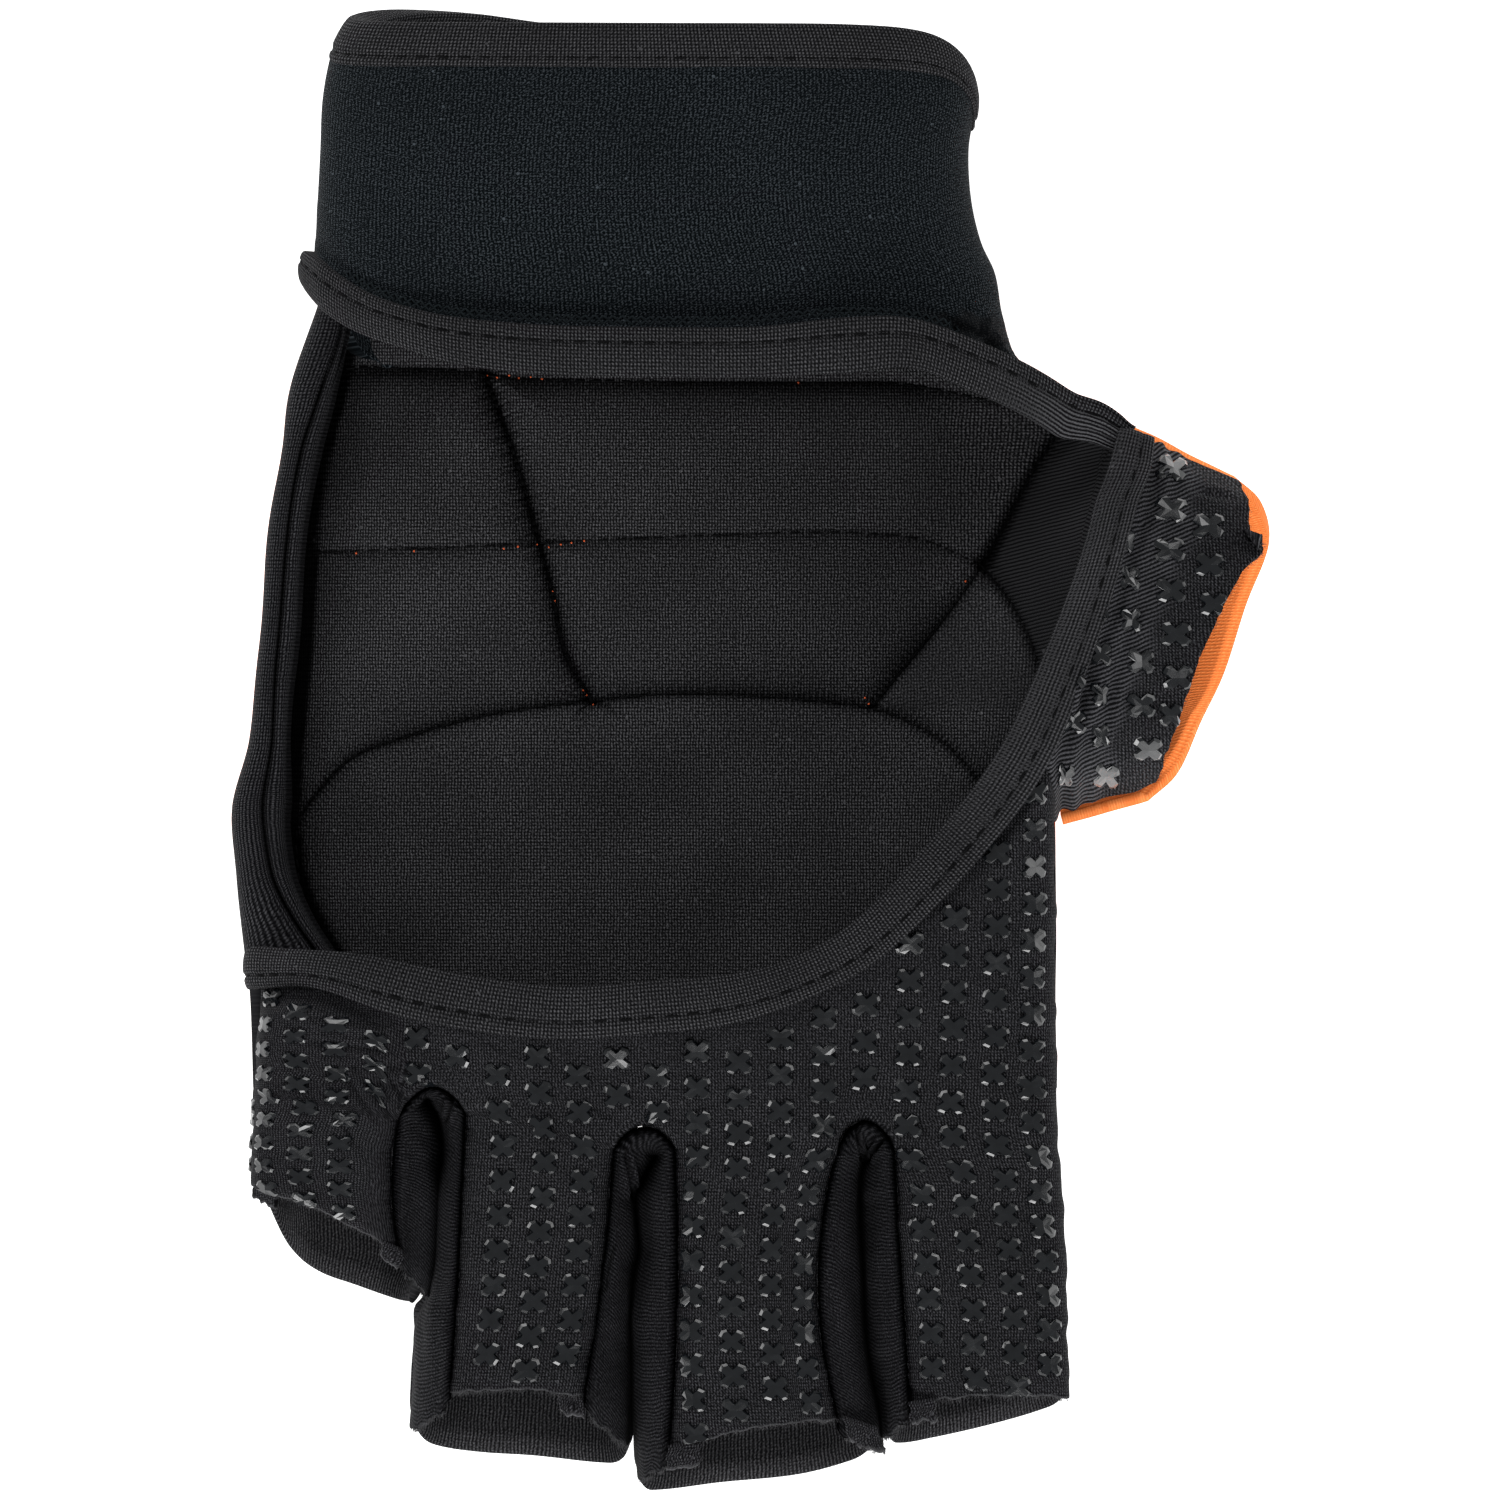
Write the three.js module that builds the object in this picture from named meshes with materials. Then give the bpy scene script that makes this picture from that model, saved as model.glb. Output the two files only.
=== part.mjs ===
// A left-hand field hockey glove with an open palm and short fingers, in millimetres.
// It lies on its padded back with the palm up: wrist at +Y, fingers at -Y, thumb at +X,
// with the floor at z = 0. Every cloth piece is a thin closed wall, laid out as a grid of
// rows (along the hand) and columns (across it) that short tables of sizes give.
import * as THREE from 'three';

// driving sizes
const seamGap = 0.45;          // space left between two pieces that are sewn together
const tapeGap = 0.6;           // space left between the tape and what it binds
const clothWall = 1.6;         // palm and finger fabric
const gussetWall = 1.2;        // thin knit between the fingers
const neopreneWall = 3;        // wrist band
const linerWall = 1.2;         // knitted liner over the back pad
const linerGap = 0.7;          // space left between the pad and its liner
const tapeThickness = 2.8;     // binding tape folded over an edge
const bandThickness = 2.6;     // folded side band
const seamHeight = 11.2;       // height at which palm side and back side are sewn together
const padSeamThickness = 3.2;  // back pad along its two deep lengthwise seams
const padCrossThickness = 5.4; // back pad along the shallow seams that run across it
const padCrownThickness = 7.6; // back pad in the middle of a quilted field
const padSideThickness = 4.2;  // unpadded field between the thumb-side seam and the edge
const padRimThickness = 2.2;   // back pad where it turns up to its side seam
const handEnd = -45.2;         // y where the back of the hand ends and the fingers begin

const cloth = {
  palm: { color: 0x1e1e21, roughness: 0.8 },
  knit: { color: 0x1e1e21, roughness: 0.85 },
  neoprene: { color: 0x141a1e, roughness: 0.85 },
  tape: { color: 0x26262a, roughness: 0.7 },
  liner: { color: 0x1f1f22, roughness: 0.9 },
  orange: { color: 0xff8c4d, roughness: 0.8 },
};

// The binding tape round the palm opening: its edge on the opening side (in) and its outer
// edge (out), with the height of both. It starts at the little-finger corner of the wrist,
// crosses the wrist, turns at the thumb, sweeps under the palm and ends at the little finger.
const openingTape = [
  { inX: -58.8, inY: 62.3, outX: -58.6, outY: 66.0, z: 14 },
  { inX: -59.0, inY: 62.0, outX: -58.7, outY: 66.6, z: 17 },
  { inX: -57.1, inY: 59.2, outX: -57.1, outY: 65.3, z: 21.5 },
  { inX: -54.1, inY: 56.7, outX: -54.1, outY: 62.9, z: 25 },
  { inX: -46.7, inY: 53.6, outX: -46.7, outY: 59.2, z: 29 },
  { inX: -36.1, inY: 50.7, outX: -36.1, outY: 57.1, z: 31.5 },
  { inX: -20.1, inY: 49.7, outX: -20.1, outY: 56.3, z: 32.5 },
  { inX: -0.1, inY: 49.6, outX: -0.1, outY: 56.3, z: 33 },
  { inX: 13.3, inY: 50.1, outX: 13.3, outY: 57.5, z: 32.5 },
  { inX: 22.6, inY: 50.4, outX: 23.3, outY: 56.8, z: 31.5 },
  { inX: 29.9, inY: 47.6, outX: 31.3, outY: 54.0, z: 29.5 },
  { inX: 38.6, inY: 43.2, outX: 39.9, outY: 49.5, z: 26.5 },
  { inX: 44.9, inY: 40.6, outX: 48.2, outY: 45.2, z: 24.5 },
  { inX: 47.3, inY: 38.6, outX: 53.2, outY: 41.2, z: 25 },
  { inX: 46.3, inY: 34.1, outX: 52.2, outY: 34.5, z: 26.5 },
  { inX: 44.6, inY: 28.1, outX: 50.6, outY: 29.1, z: 28 },
  { inX: 40.2, inY: 15.5, outX: 46.3, outY: 14.5, z: 30 },
  { inX: 33.3, inY: 0.8, outX: 39.3, outY: -2.3, z: 32 },
  { inX: 25.3, inY: -10.3, outX: 30.3, outY: -14.5, z: 33 },
  { inX: 14.6, inY: -22.1, outX: 17.9, outY: -27.2, z: 33.5 },
  { inX: 3.9, inY: -28.1, outX: 5.9, outY: -33.6, z: 33.5 },
  { inX: -8.1, inY: -30.3, outX: -7.0, outY: -37.1, z: 33 },
  { inX: -20.1, inY: -31.2, outX: -20.1, outY: -38.1, z: 32.5 },
  { inX: -33.4, inY: -30.7, outX: -34.7, outY: -37.7, z: 31 },
  { inX: -46.7, inY: -28.1, outX: -48.7, outY: -34.8, z: 28 },
  { inX: -57.4, inY: -26.7, outX: -58.5, outY: -31.7, z: 24 },
  { inX: -65.1, inY: -26.3, outX: -65.1, outY: -31.9, z: 18.5 },
  { inX: -66.7, inY: -26.3, outX: -66.6, outY: -31.9, z: 13 },
];

// the wrist band's two sides, from its upper edge down towards the hand
const cuffSides = [
  { y: 43, left: -58.5, right: 48.5 },
  { y: 46, left: -58.5, right: 44 },
  { y: 51.3, left: -58.5, right: 36.4 },
  { y: 57.7, left: -58.6, right: 33.7 },
  { y: 63.5, left: -58.3, right: 32.5 },
  { y: 67.7, left: -58.1, right: 30.6 },
  { y: 73.5, left: -57.8, right: 29.3 },
  { y: 80.1, left: -57.4, right: 29.1 },
  { y: 86.8, left: -57.0, right: 30.2 },
  { y: 92.8, left: -55.9, right: 29.3 },
  { y: 96.1, left: -54.7, right: 27.7 },
  { y: 99.5, left: -51.5, right: 23.3 },
];
// the band's upper edge, by the angle round the flattened loop: 0 is the thumb side, 90 the
// palm side, 180 the little-finger side, 270 the back
const cuffTop = [
  { angle: 0, y: 88.5 },
  { angle: 15, y: 92.8 },
  { angle: 30, y: 95.4 },
  { angle: 50, y: 96.4 },
  { angle: 90, y: 96.6 },
  { angle: 140, y: 96.9 },
  { angle: 165, y: 97.4 },
  { angle: 180, y: 98.2 },
  { angle: 200, y: 99.0 },
  { angle: 220, y: 99.3 },
  { angle: 240, y: 98.8 },
  { angle: 255, y: 97.6 },
  { angle: 270, y: 96.2 },
  { angle: 300, y: 94.6 },
  { angle: 330, y: 91.0 },
  { angle: 360, y: 88.5 },
];
// its lower edge on the back half; on the palm half it follows the tape of the opening
const cuffFoot = [
  { angle: 180, y: 67.4 },
  { angle: 190, y: 66.8 },
  { angle: 200, y: 58.6 },
  { angle: 215, y: 52 },
  { angle: 240, y: 51.4 },
  { angle: 320, y: 51.4 },
  { angle: 340, y: 49.4 },
  { angle: 360, y: 45.6 },
];
const cuffHeight = { bottom: 1.8, top: 31.6, roundness: 2.7 };
const cuffTape = { width: 6, proud: 0.4, clear: 1.2 };
const cuffSteps = { round: 36, down: 6 };

// the side band on the little-finger side, from the wrist down: its outer foot, its inner
// edge, and the height of its top
const sideBand = [
  { y: 57.4, outer: -58.6, inner: -55.6, top: 18 },
  { y: 46.8, outer: -61.5, inner: -57.7, top: 18.5 },
  { y: 40.1, outer: -62.7, inner: -60.1, top: 18.5 },
  { y: 20.1, outer: -65.1, inner: -62.7, top: 18 },
  { y: 6.8, outer: -66.3, inner: -63.3, top: 18 },
  { y: -6.5, outer: -69.2, inner: -65.1, top: 18.5 },
  { y: -13.2, outer: -69.2, inner: -64.3, top: 19 },
  { y: -18.5, outer: -68.5, inner: -62.1, top: 20 },
  { y: -25.6, outer: -67.7, inner: -60.3, top: 19 },
];

const bandSteps = 16;
// the side band in section, from its foot to its inner edge: how far it is set in from the
// outer line (mm), how far it has gone over to the inner edge, and its share of the rise
const bandSection = [
  { setIn: 0.5, over: 0, rise: 0 },
  { setIn: 0, over: 0, rise: 0.45 },
  { setIn: 0, over: 0.25, rise: 0.86 },
  { setIn: 0, over: 1, rise: 1 },
];

// the back of the hand: its two side edges and how high the edge turns up on each side
const backOutline = [
  { y: 50.6, left: -60.2, right: 37, rimLeft: 9.9, rimRight: 6 },
  { y: 46.8, left: -61.2, right: 41.5, rimLeft: 9.9, rimRight: 6 },
  { y: 42.8, left: -62.1, right: 45.6, rimLeft: 9.9, rimRight: 5 },
  { y: 37.5, left: -62.9, right: 46.4, rimLeft: 9.9, rimRight: 3 },
  { y: 27.5, left: -64.3, right: 45.2, rimLeft: 9.9, rimRight: 2 },
  { y: 13.5, left: -65.6, right: 43.3, rimLeft: 9.9, rimRight: 1.6 },
  { y: 1.5, left: -66.9, right: 41.8, rimLeft: 9.9, rimRight: 2 },
  { y: -6.5, left: -68.7, right: 41.0, rimLeft: 9.9, rimRight: 5 },
  { y: -13.2, left: -69.0, right: 40.9, rimLeft: 9.9, rimRight: 9.9 },
  { y: -25.2, left: -67.7, right: 41.0, rimLeft: 9.9, rimRight: 9.9 },
  { y: -33.2, left: -66.9, right: 40.9, rimLeft: 9.9, rimRight: 9.9 },
  { y: handEnd, left: -66.5, right: 41.1, rimLeft: 9.9, rimRight: 9.9 },
];
const backRoundness = 5;
// at the thumb side the liner reaches beyond the pad and rises to the tape
const linerReach = [
  { y: 50.6, out: 1.5, up: 8 },
  { y: 46.8, out: 3.4, up: 11 },
  { y: 42.8, out: 5.4, up: 13 },
  { y: 37.5, out: 4, up: 16 },
  { y: 27.5, out: 2.2, up: 18 },
  { y: 13.5, out: 1.6, up: 17 },
  { y: 1.5, out: 0.6, up: 12 },
  { y: -6.5, out: 0, up: 4 },
  { y: -13, out: 0, up: 0 },
];
const linerReachFrom = 0.8; // share across the hand where that begins
// where the quilting seams run: across the hand by x, and along it by the row they cross
const crossSeams = [
  { x: -69, top: 50.6, knuckle: 26.2, lower: -12, end: handEnd },
  { x: -60, top: 50.6, knuckle: 26.4, lower: -7.2, end: handEnd },
  { x: -54, top: 50.6, knuckle: 26.6, lower: -1.2, end: handEnd },
  { x: -46.7, top: 50.6, knuckle: 26.9, lower: 1.6, end: handEnd },
  { x: -34.7, top: 50.6, knuckle: 27.3, lower: 4.8, end: handEnd },
  { x: -20, top: 50.6, knuckle: 28.1, lower: 6.7, end: handEnd },
  { x: -6.7, top: 50.6, knuckle: 28.8, lower: 7.5, end: handEnd },
  { x: 6.6, top: 50.6, knuckle: 29.1, lower: 6.8, end: handEnd },
  { x: 17.3, top: 50.6, knuckle: 28.5, lower: 5.3, end: handEnd },
  { x: 24.6, top: 50.6, knuckle: 27.6, lower: 1.9, end: handEnd },
  { x: 30, top: 50, knuckle: 25, lower: -2.8, end: handEnd },
  { x: 38.6, top: 46, knuckle: 25.4, lower: -8, end: handEnd },
  { x: 46.6, top: 41.5, knuckle: 25.4, lower: -10, end: handEnd },
];
const longSeams = [
  { row: 'top', ulnar: -35, thumb: 37 },
  { row: 'knuckle', ulnar: -27.4, thumb: 30.6 },
  { row: 'lower', ulnar: -21.1, thumb: 18.3 },
  { row: 'end', ulnar: -21.1, thumb: 18.3 },
];

// the palm panel: each line down the hand at the tape (top), at the finger roots (fork), half
// way down the finger (mid) and at its raw end; an arch line is the middle of a fork
const palmLines = [
  { line: 'leftSeam', topX: -65.1, forkX: -66.2, midX: -66.5, endX: -66.7, forkY: -45.9, endY: -58.3,
    topZ: seamHeight, forkZ: seamHeight, endZ: seamHeight },
  { line: 'littleRight', topX: -46.1, forkX: -46.9, midX: -47.8, endX: -47, forkY: -49.2, endY: -66.8,
    topZ: 28.2, forkZ: 26, endZ: 22 },
  { line: 'archLittle', topX: -41.8, forkX: -41.8, forkY: -44.8, topZ: 29.6, forkZ: 25.6 },
  { line: 'ringLeft', topX: -37.4, forkX: -37.8, midX: -38.6, endX: -39.9, forkY: -48.4, endY: -85.7,
    topZ: 30.5, forkZ: 27, endZ: 23 },
  { line: 'ringRight', topX: -19.6, forkX: -18.3, midX: -19.8, endX: -22.3, forkY: -53.2, endY: -86.1,
    topZ: 32.4, forkZ: 27.4, endZ: 23 },
  { line: 'archRing', topX: -15.8, forkX: -13.7, forkY: -50.1, topZ: 32.6, forkZ: 26.8 },
  { line: 'middleLeft', topX: -11.4, forkX: -9.9, midX: -9.6, endX: -10.7, forkY: -53.2, endY: -93.2,
    topZ: 32.8, forkZ: 27.4, endZ: 23.4 },
  { line: 'middleRight', topX: 12.6, forkX: 11.3, midX: 9, endX: 11.7, forkY: -54, endY: -89.2,
    topZ: 33.2, forkZ: 28, endZ: 23.4 },
  { line: 'archMiddle', topX: 15.8, forkX: 15.2, forkY: -49.2, topZ: 33.2, forkZ: 27.4 },
  { line: 'indexLeft', topX: 19.4, forkX: 19.3, midX: 20.3, endX: 21.4, forkY: -53.4, endY: -87.2,
    topZ: 33.2, forkZ: 28, endZ: 23.2 },
  { line: 'rightSeam', topX: 40.8, forkX: 41, midX: 42.2, endX: 42.7, forkY: -47.9, endY: -86.5,
    topZ: seamHeight, forkZ: seamHeight, endZ: seamHeight },
];
const fingerCrown = 1.2;   // how much a finger strip bulges between its two seams
const fingerDip = 0.8;     // how much the middle of a raw finger end is cut back
// how squarely the panel turns down at each side of the hand
const palmRound = { left: 4, right: 8 };
// beyond this x the panel's upper edge falls away to the thumb
const thumbCut = { from: 38.6, slope: 3 };
const palmFall = 1.6;      // how soon the panel falls away from the tape
const palmSteps = { upper: 5, finger: 6 };

// the side walls between two fingers: the line along which their feet meet, down from the
// fork, and how each foot goes on from there to its own finger's end
const valleyHeight = 9.6;
const gussetRoll = 1.7;    // how strongly a side wall bulges towards the gap
const gussetSteps = 8;
const gussetHalfGap = 0.5;
const gussetHeights = 4;
const gussetCorner = { x: 0.35, y: 0.8, z: 0.5 };  // the corner of a fork, as a share of the way to its crown
const gussetTuck = { side: 0.3, fork: 0.6 };  // how far its upper edge lies under the palm panel
const gussets = [
  { name: 'gusset_little_ring', from: 'littleRight', arch: 'archLittle', to: 'ringLeft',
    slit: [{ x: -43.2, y: -46.6 }, { x: -41.8, y: -48.8 }, { x: -41.1, y: -52.5 }, { x: -41.5, y: -57.0 },
      { x: -41.7, y: -63.0 }, { x: -42.0, y: -68.6 }],
    fromTail: [{ x: -42.9, y: -72.0 }],
    toTail: [{ x: -43.0, y: -73.0 }, { x: -44.7, y: -77.0 }, { x: -44.9, y: -84.0 },
      { x: -45.2, y: -90.3 }] },
  { name: 'gusset_ring_middle', from: 'ringRight', arch: 'archRing', to: 'middleLeft',
    slit: [{ x: -12.5, y: -54.4 }, { x: -13.9, y: -56.8 }, { x: -15.3, y: -59.5 }, { x: -15.1, y: -63.1 },
      { x: -14.8, y: -66.7 }, { x: -15.5, y: -70.0 }, { x: -16.0, y: -75.5 }, { x: -15.9, y: -79.2 }],
    fromTail: [{ x: -15.9, y: -85.9 }, { x: -16.3, y: -92.6 }],
    toTail: [{ x: -15.8, y: -85.9 }, { x: -15.4, y: -92.0 }, { x: -14.9, y: -97.0 }] },
  { name: 'gusset_middle_index', from: 'middleRight', arch: 'archMiddle', to: 'indexLeft',
    slit: [{ x: 15.6, y: -53.6 }, { x: 14.8, y: -56.5 }, { x: 14.7, y: -60.8 }, { x: 15.1, y: -69.2 },
      { x: 15.4, y: -77.5 }, { x: 16.2, y: -83.5 }],
    fromTail: [{ x: 17.0, y: -88.5 }, { x: 17.2, y: -92.9 }],
    toTail: [{ x: 17.3, y: -88.0 }, { x: 18.0, y: -91.6 }] },
];

// the padded finger backs: x of both sides by the share v from root to tip, and y of the cut
// end by the share u across
const fingerBacks = [
  { name: 'finger_back_little',
    left: [{ v: 0, x: -66.5 }, { v: 0.5, x: -66.3 }, { v: 1, x: -65.2 }],
    right: [{ v: 0, x: -42.3 }, { v: 0.8, x: -42.5 }, { v: 1, x: -44.3 }],
    tip: [{ u: 0, y: -59.5 }, { u: 0.04, y: -62.8 }, { u: 0.15, y: -66.9 }, { u: 0.34, y: -69.9 },
      { u: 0.6, y: -71.9 }, { u: 0.89, y: -73.9 }, { u: 1, y: -74.3 }] },
  { name: 'finger_back_ring',
    left: [{ v: 0, x: -41.7 }, { v: 0.5, x: -41.8 }, { v: 0.58, x: -42.1 }, { v: 0.63, x: -42.8 },
      { v: 0.67, x: -43.8 }, { v: 0.71, x: -44.9 }, { v: 0.78, x: -44.9 }, { v: 1, x: -45.8 }],
    right: [{ v: 0, x: -15.1 }, { v: 0.5, x: -15.1 }, { v: 1, x: -15.9 }],
    tip: [{ u: 0, y: -89.4 }, { u: 0.03, y: -91.8 }, { u: 0.1, y: -93.2 }, { u: 0.3, y: -94.2 },
      { u: 0.55, y: -94.7 }, { u: 0.9, y: -95.7 }, { u: 0.97, y: -95.0 }, { u: 1, y: -93 }] },
  { name: 'finger_back_middle',
    left: [{ v: 0, x: -14.5 }, { v: 0.5, x: -14.5 }, { v: 1, x: -15.4 }],
    right: [{ v: 0, x: 15.2 }, { v: 0.5, x: 15.4 }, { v: 1, x: 17.1 }],
    tip: [{ u: 0, y: -95.8 }, { u: 0.03, y: -98.4 }, { u: 0.07, y: -99.3 }, { u: 0.36, y: -98.3 },
      { u: 0.68, y: -97.2 }, { u: 0.9, y: -95.3 }, { u: 0.97, y: -94.0 }, { u: 1, y: -92.6 }] },
  { name: 'finger_back_index',
    left: [{ v: 0, x: 15.8 }, { v: 0.5, x: 16 }, { v: 1, x: 17.8 }],
    right: [{ v: 0, x: 41 }, { v: 0.5, x: 41.6 }, { v: 1, x: 43 }],
    tip: [{ u: 0, y: -91.8 }, { u: 0.05, y: -93.0 }, { u: 0.27, y: -92.3 }, { u: 0.6, y: -90.4 },
      { u: 0.9, y: -88.2 }, { u: 0.97, y: -87.2 }, { u: 1, y: -86 }] },
];
const fingerColumns = [0, 0.03, 0.08, 0.16, 0.32, 0.5, 0.68, 0.84, 0.93, 0.97, 1];
const fingerRows = [0, 0.25, 0.5, 0.58, 0.64, 0.7, 0.8, 0.92, 1];
// a finger back's thickness in the middle and at its sides, the share across over which it
// thins, the height to which it turns up at its sides, how squarely, and the lift at its tip
const fingerPad = { thick: 4, edge: 1.6, thinning: 0.3, rim: 8.5, roundness: 4, tipLift: 0.4 };

// the palmar side of the thumb: its line along the tape (root) and its raw edge (end)
const thumbPalm = [
  { rootX: 53.9, rootY: 41.9, rootZ: 18.8, endX: 65.3, endY: 36.2, endZ: 12 },
  { rootX: 54.2, rootY: 39.5, rootZ: 22.5, endX: 66.4, endY: 32.8, endZ: 20 },
  { rootX: 53.0, rootY: 33.9, rootZ: 26.5, endX: 66.8, endY: 28.1, endZ: 24.5 },
  { rootX: 52.1, rootY: 31.2, rootZ: 27.6, endX: 68.4, endY: 26.6, endZ: 24.6 },
  { rootX: 51.3, rootY: 28.5, rootZ: 28.5, endX: 65.5, endY: 23.6, endZ: 26 },
  { rootX: 47.1, rootY: 14.0, rootZ: 30.5, endX: 60.9, endY: 14.8, endZ: 26.5 },
  { rootX: 43.9, rootY: 5.7, rootZ: 31.5, endX: 58.6, endY: 8.1, endZ: 25.5 },
  { rootX: 40.4, rootY: -1.9, rootZ: 31, endX: 56.7, endY: 2.8, endZ: 24 },
  { rootX: 41.2, rootY: -5.5, rootZ: 26, endX: 55.3, endY: -1.5, endZ: 19 },
  { rootX: 42.2, rootY: -9.3, rootZ: 12, endX: 54.2, endY: -4.3, endZ: 12 },
];
// the back of the thumb, underneath: where it joins the back of the hand, and its open end
const thumbBack = [
  { rootX: 50.2, rootY: 43.6, rootZ: 19.0, endX: 64.9, endY: 36.6, endZ: 9.6 },
  { rootX: 49.2, rootY: 41.4, rootZ: 7, endX: 68.6, endY: 32.9, endZ: 6 },
  { rootX: 47.2, rootY: 30.8, rootZ: 1.5, endX: 69.6, endY: 27.5, endZ: 3 },
  { rootX: 45.0, rootY: 20.1, rootZ: 1, endX: 66.6, endY: 19.5, endZ: 2 },
  { rootX: 43.7, rootY: 9.5, rootZ: 1, endX: 63.7, endY: 10.5, endZ: 2 },
  { rootX: 42.6, rootY: -1.2, rootZ: 1.5, endX: 60.6, endY: 3.9, endZ: 2.5 },
  { rootX: 41.9, rootY: -6.5, rootZ: 4, endX: 57.3, endY: -3.2, endZ: 5 },
  { rootX: 41.9, rootY: -10.0, rootZ: 9.6, endX: 53.3, endY: -6.8, endZ: 9.6 },
];
const thumbBackThickness = 3.6;
const thumbSteps = { palm: 16, back: 14, edge: 3, along: 5 };

// A column of a table at a place along another column, by a smooth curve through the rows.
function along(rows, keyName, columnName, at) {
  const keys = rows.map((row, index) => (keyName === 'index' ? index : row[keyName]));
  const rising = keys[keys.length - 1] > keys[0];
  const place = rising ? at : -at;
  const x = rising ? keys : keys.map((key) => -key);
  const y = rows.map((row) => row[columnName]);
  const last = x.length - 1;
  const held = Math.min(Math.max(place, x[0]), x[last]);
  let k = 0;
  while (k < last - 1 && held > x[k + 1]) k += 1;
  const slope = (i) => {
    const before = Math.max(i - 1, 0);
    const after = Math.min(i + 1, last);
    return (y[after] - y[before]) / (x[after] - x[before]);
  };
  const span = x[k + 1] - x[k];
  const t = (held - x[k]) / span;
  return (2 * t ** 3 - 3 * t ** 2 + 1) * y[k] + (t ** 3 - 2 * t ** 2 + t) * span * slope(k)
    + (3 * t ** 2 - 2 * t ** 3) * y[k + 1] + (t ** 3 - t ** 2) * span * slope(k + 1);
}

// evenly spaced numbers from a to b
function steps(a, b, count) {
  return Array.from({ length: count + 1 }, (_, i) => a + ((b - a) * i) / count);
}

const lerp = THREE.MathUtils.lerp;

// A closed mesh from its points and triangles, with its faces turned outwards.
function closedMesh(points, triangles) {
  let volume = 0;
  for (const [a, b, c] of triangles) {
    volume += points[a].dot(new THREE.Vector3().crossVectors(points[b], points[c]));
  }
  const faces = volume > 0 ? triangles : triangles.map(([a, b, c]) => [a, c, b]);
  const geometry = new THREE.BufferGeometry();
  geometry.setAttribute('position', new THREE.Float32BufferAttribute(points.flatMap((p) => p.toArray()), 3));
  geometry.setIndex(faces.flat());
  geometry.computeVertexNormals();
  return geometry;
}

// The grid moved along its own normals by a depth: rows run along, columns run across.
// A positive depth follows the cross product of the two directions.
function offsetGrid(grid, depthAt, closedAcross = false) {
  const lastRow = grid.length - 1;
  const count = grid[0].length;
  return grid.map((row, r) => row.map((point, c) => {
    const before = closedAcross ? row[(c + count - 1) % count] : row[Math.max(c - 1, 0)];
    const after = closedAcross ? row[(c + 1) % count] : row[Math.min(c + 1, count - 1)];
    const across = after.clone().sub(before);
    const down = grid[Math.min(r + 1, lastRow)][c].clone().sub(grid[Math.max(r - 1, 0)][c]);
    const normal = across.cross(down).normalize();
    return point.clone().addScaledVector(normal, depthAt(r, c));
  }));
}

// A wall between an outer and an inner grid. Cells that keep() refuses are left open, and
// every open edge gets a rim, so that the wall is one closed body.
function wallSolid(outer, inner, closedAcross = false, keep = () => true) {
  const rows = outer.length - 1;
  const count = outer[0].length;
  const cells = closedAcross ? count : count - 1;
  const points = [...outer.flat(), ...inner.flat()];
  const shift = outer.length * count;
  const at = (r, c) => r * count + (c % count);
  const has = (r, c) => {
    const wrapped = closedAcross ? (c + cells) % cells : c;
    return r >= 0 && r < rows && wrapped >= 0 && wrapped < cells && keep(r, wrapped);
  };
  const triangles = [];
  const quad = (a, b, c, d) => triangles.push([a, b, c], [a, c, d]);
  for (let r = 0; r < rows; r += 1) {
    for (let c = 0; c < cells; c += 1) {
      if (!has(r, c)) continue;
      const corner = [at(r, c), at(r, c + 1), at(r + 1, c + 1), at(r + 1, c)];
      const [a, b, d, e] = corner.map((i) => i + shift);
      quad(...corner);
      triangles.push([a, d, b], [a, e, d]);
      const sides = [has(r - 1, c), has(r, c + 1), has(r + 1, c), has(r, c - 1)];
      sides.forEach((joined, side) => {
        const from = corner[side];
        const to = corner[(side + 1) % 4];
        if (!joined) quad(to, from, from + shift, to + shift);
      });
    }
  }
  return closedMesh(points, triangles);
}

// A solid bar carried through a row of like sections, closed into a ring or capped.
function sweptSolid(sections, closedAlong) {
  const size = sections[0].length;
  const points = sections.flat();
  const triangles = [];
  const spans = closedAlong ? sections.length : sections.length - 1;
  for (let s = 0; s < spans; s += 1) {
    const next = (s + 1) % sections.length;
    for (let p = 0; p < size; p += 1) {
      const q = (p + 1) % size;
      const [a, b] = [s * size + p, s * size + q];
      const [c, d] = [next * size + q, next * size + p];
      triangles.push([a, b, c], [a, c, d]);
    }
  }
  if (!closedAlong) {
    const end = (sections.length - 1) * size;
    for (let p = 1; p < size - 1; p += 1) triangles.push([0, p + 1, p], [end, end + p, end + p + 1]);
  }
  return closedMesh(points, triangles);
}

function piece(name, geometry, look) {
  const mesh = new THREE.Mesh(geometry, new THREE.MeshStandardMaterial({ ...look, metalness: 0 }));
  mesh.name = name;
  return mesh;
}

// A finished tape in section: flat in the middle with two rounded edges.
const tapeSection = [
  { across: 0, up: 0 }, { across: 0.1, up: 0.42 }, { across: 0.5, up: 0.5 }, { across: 0.9, up: 0.42 },
  { across: 1, up: 0 }, { across: 0.9, up: -0.42 }, { across: 0.1, up: -0.42 },
];

// the tape's outer edge as a function of its place along the table
function tapeEdge(place) {
  const at = (name) => along(openingTape, 'index', name, place);
  return new THREE.Vector3(at('outX'), at('outY'), at('z'));
}

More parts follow.
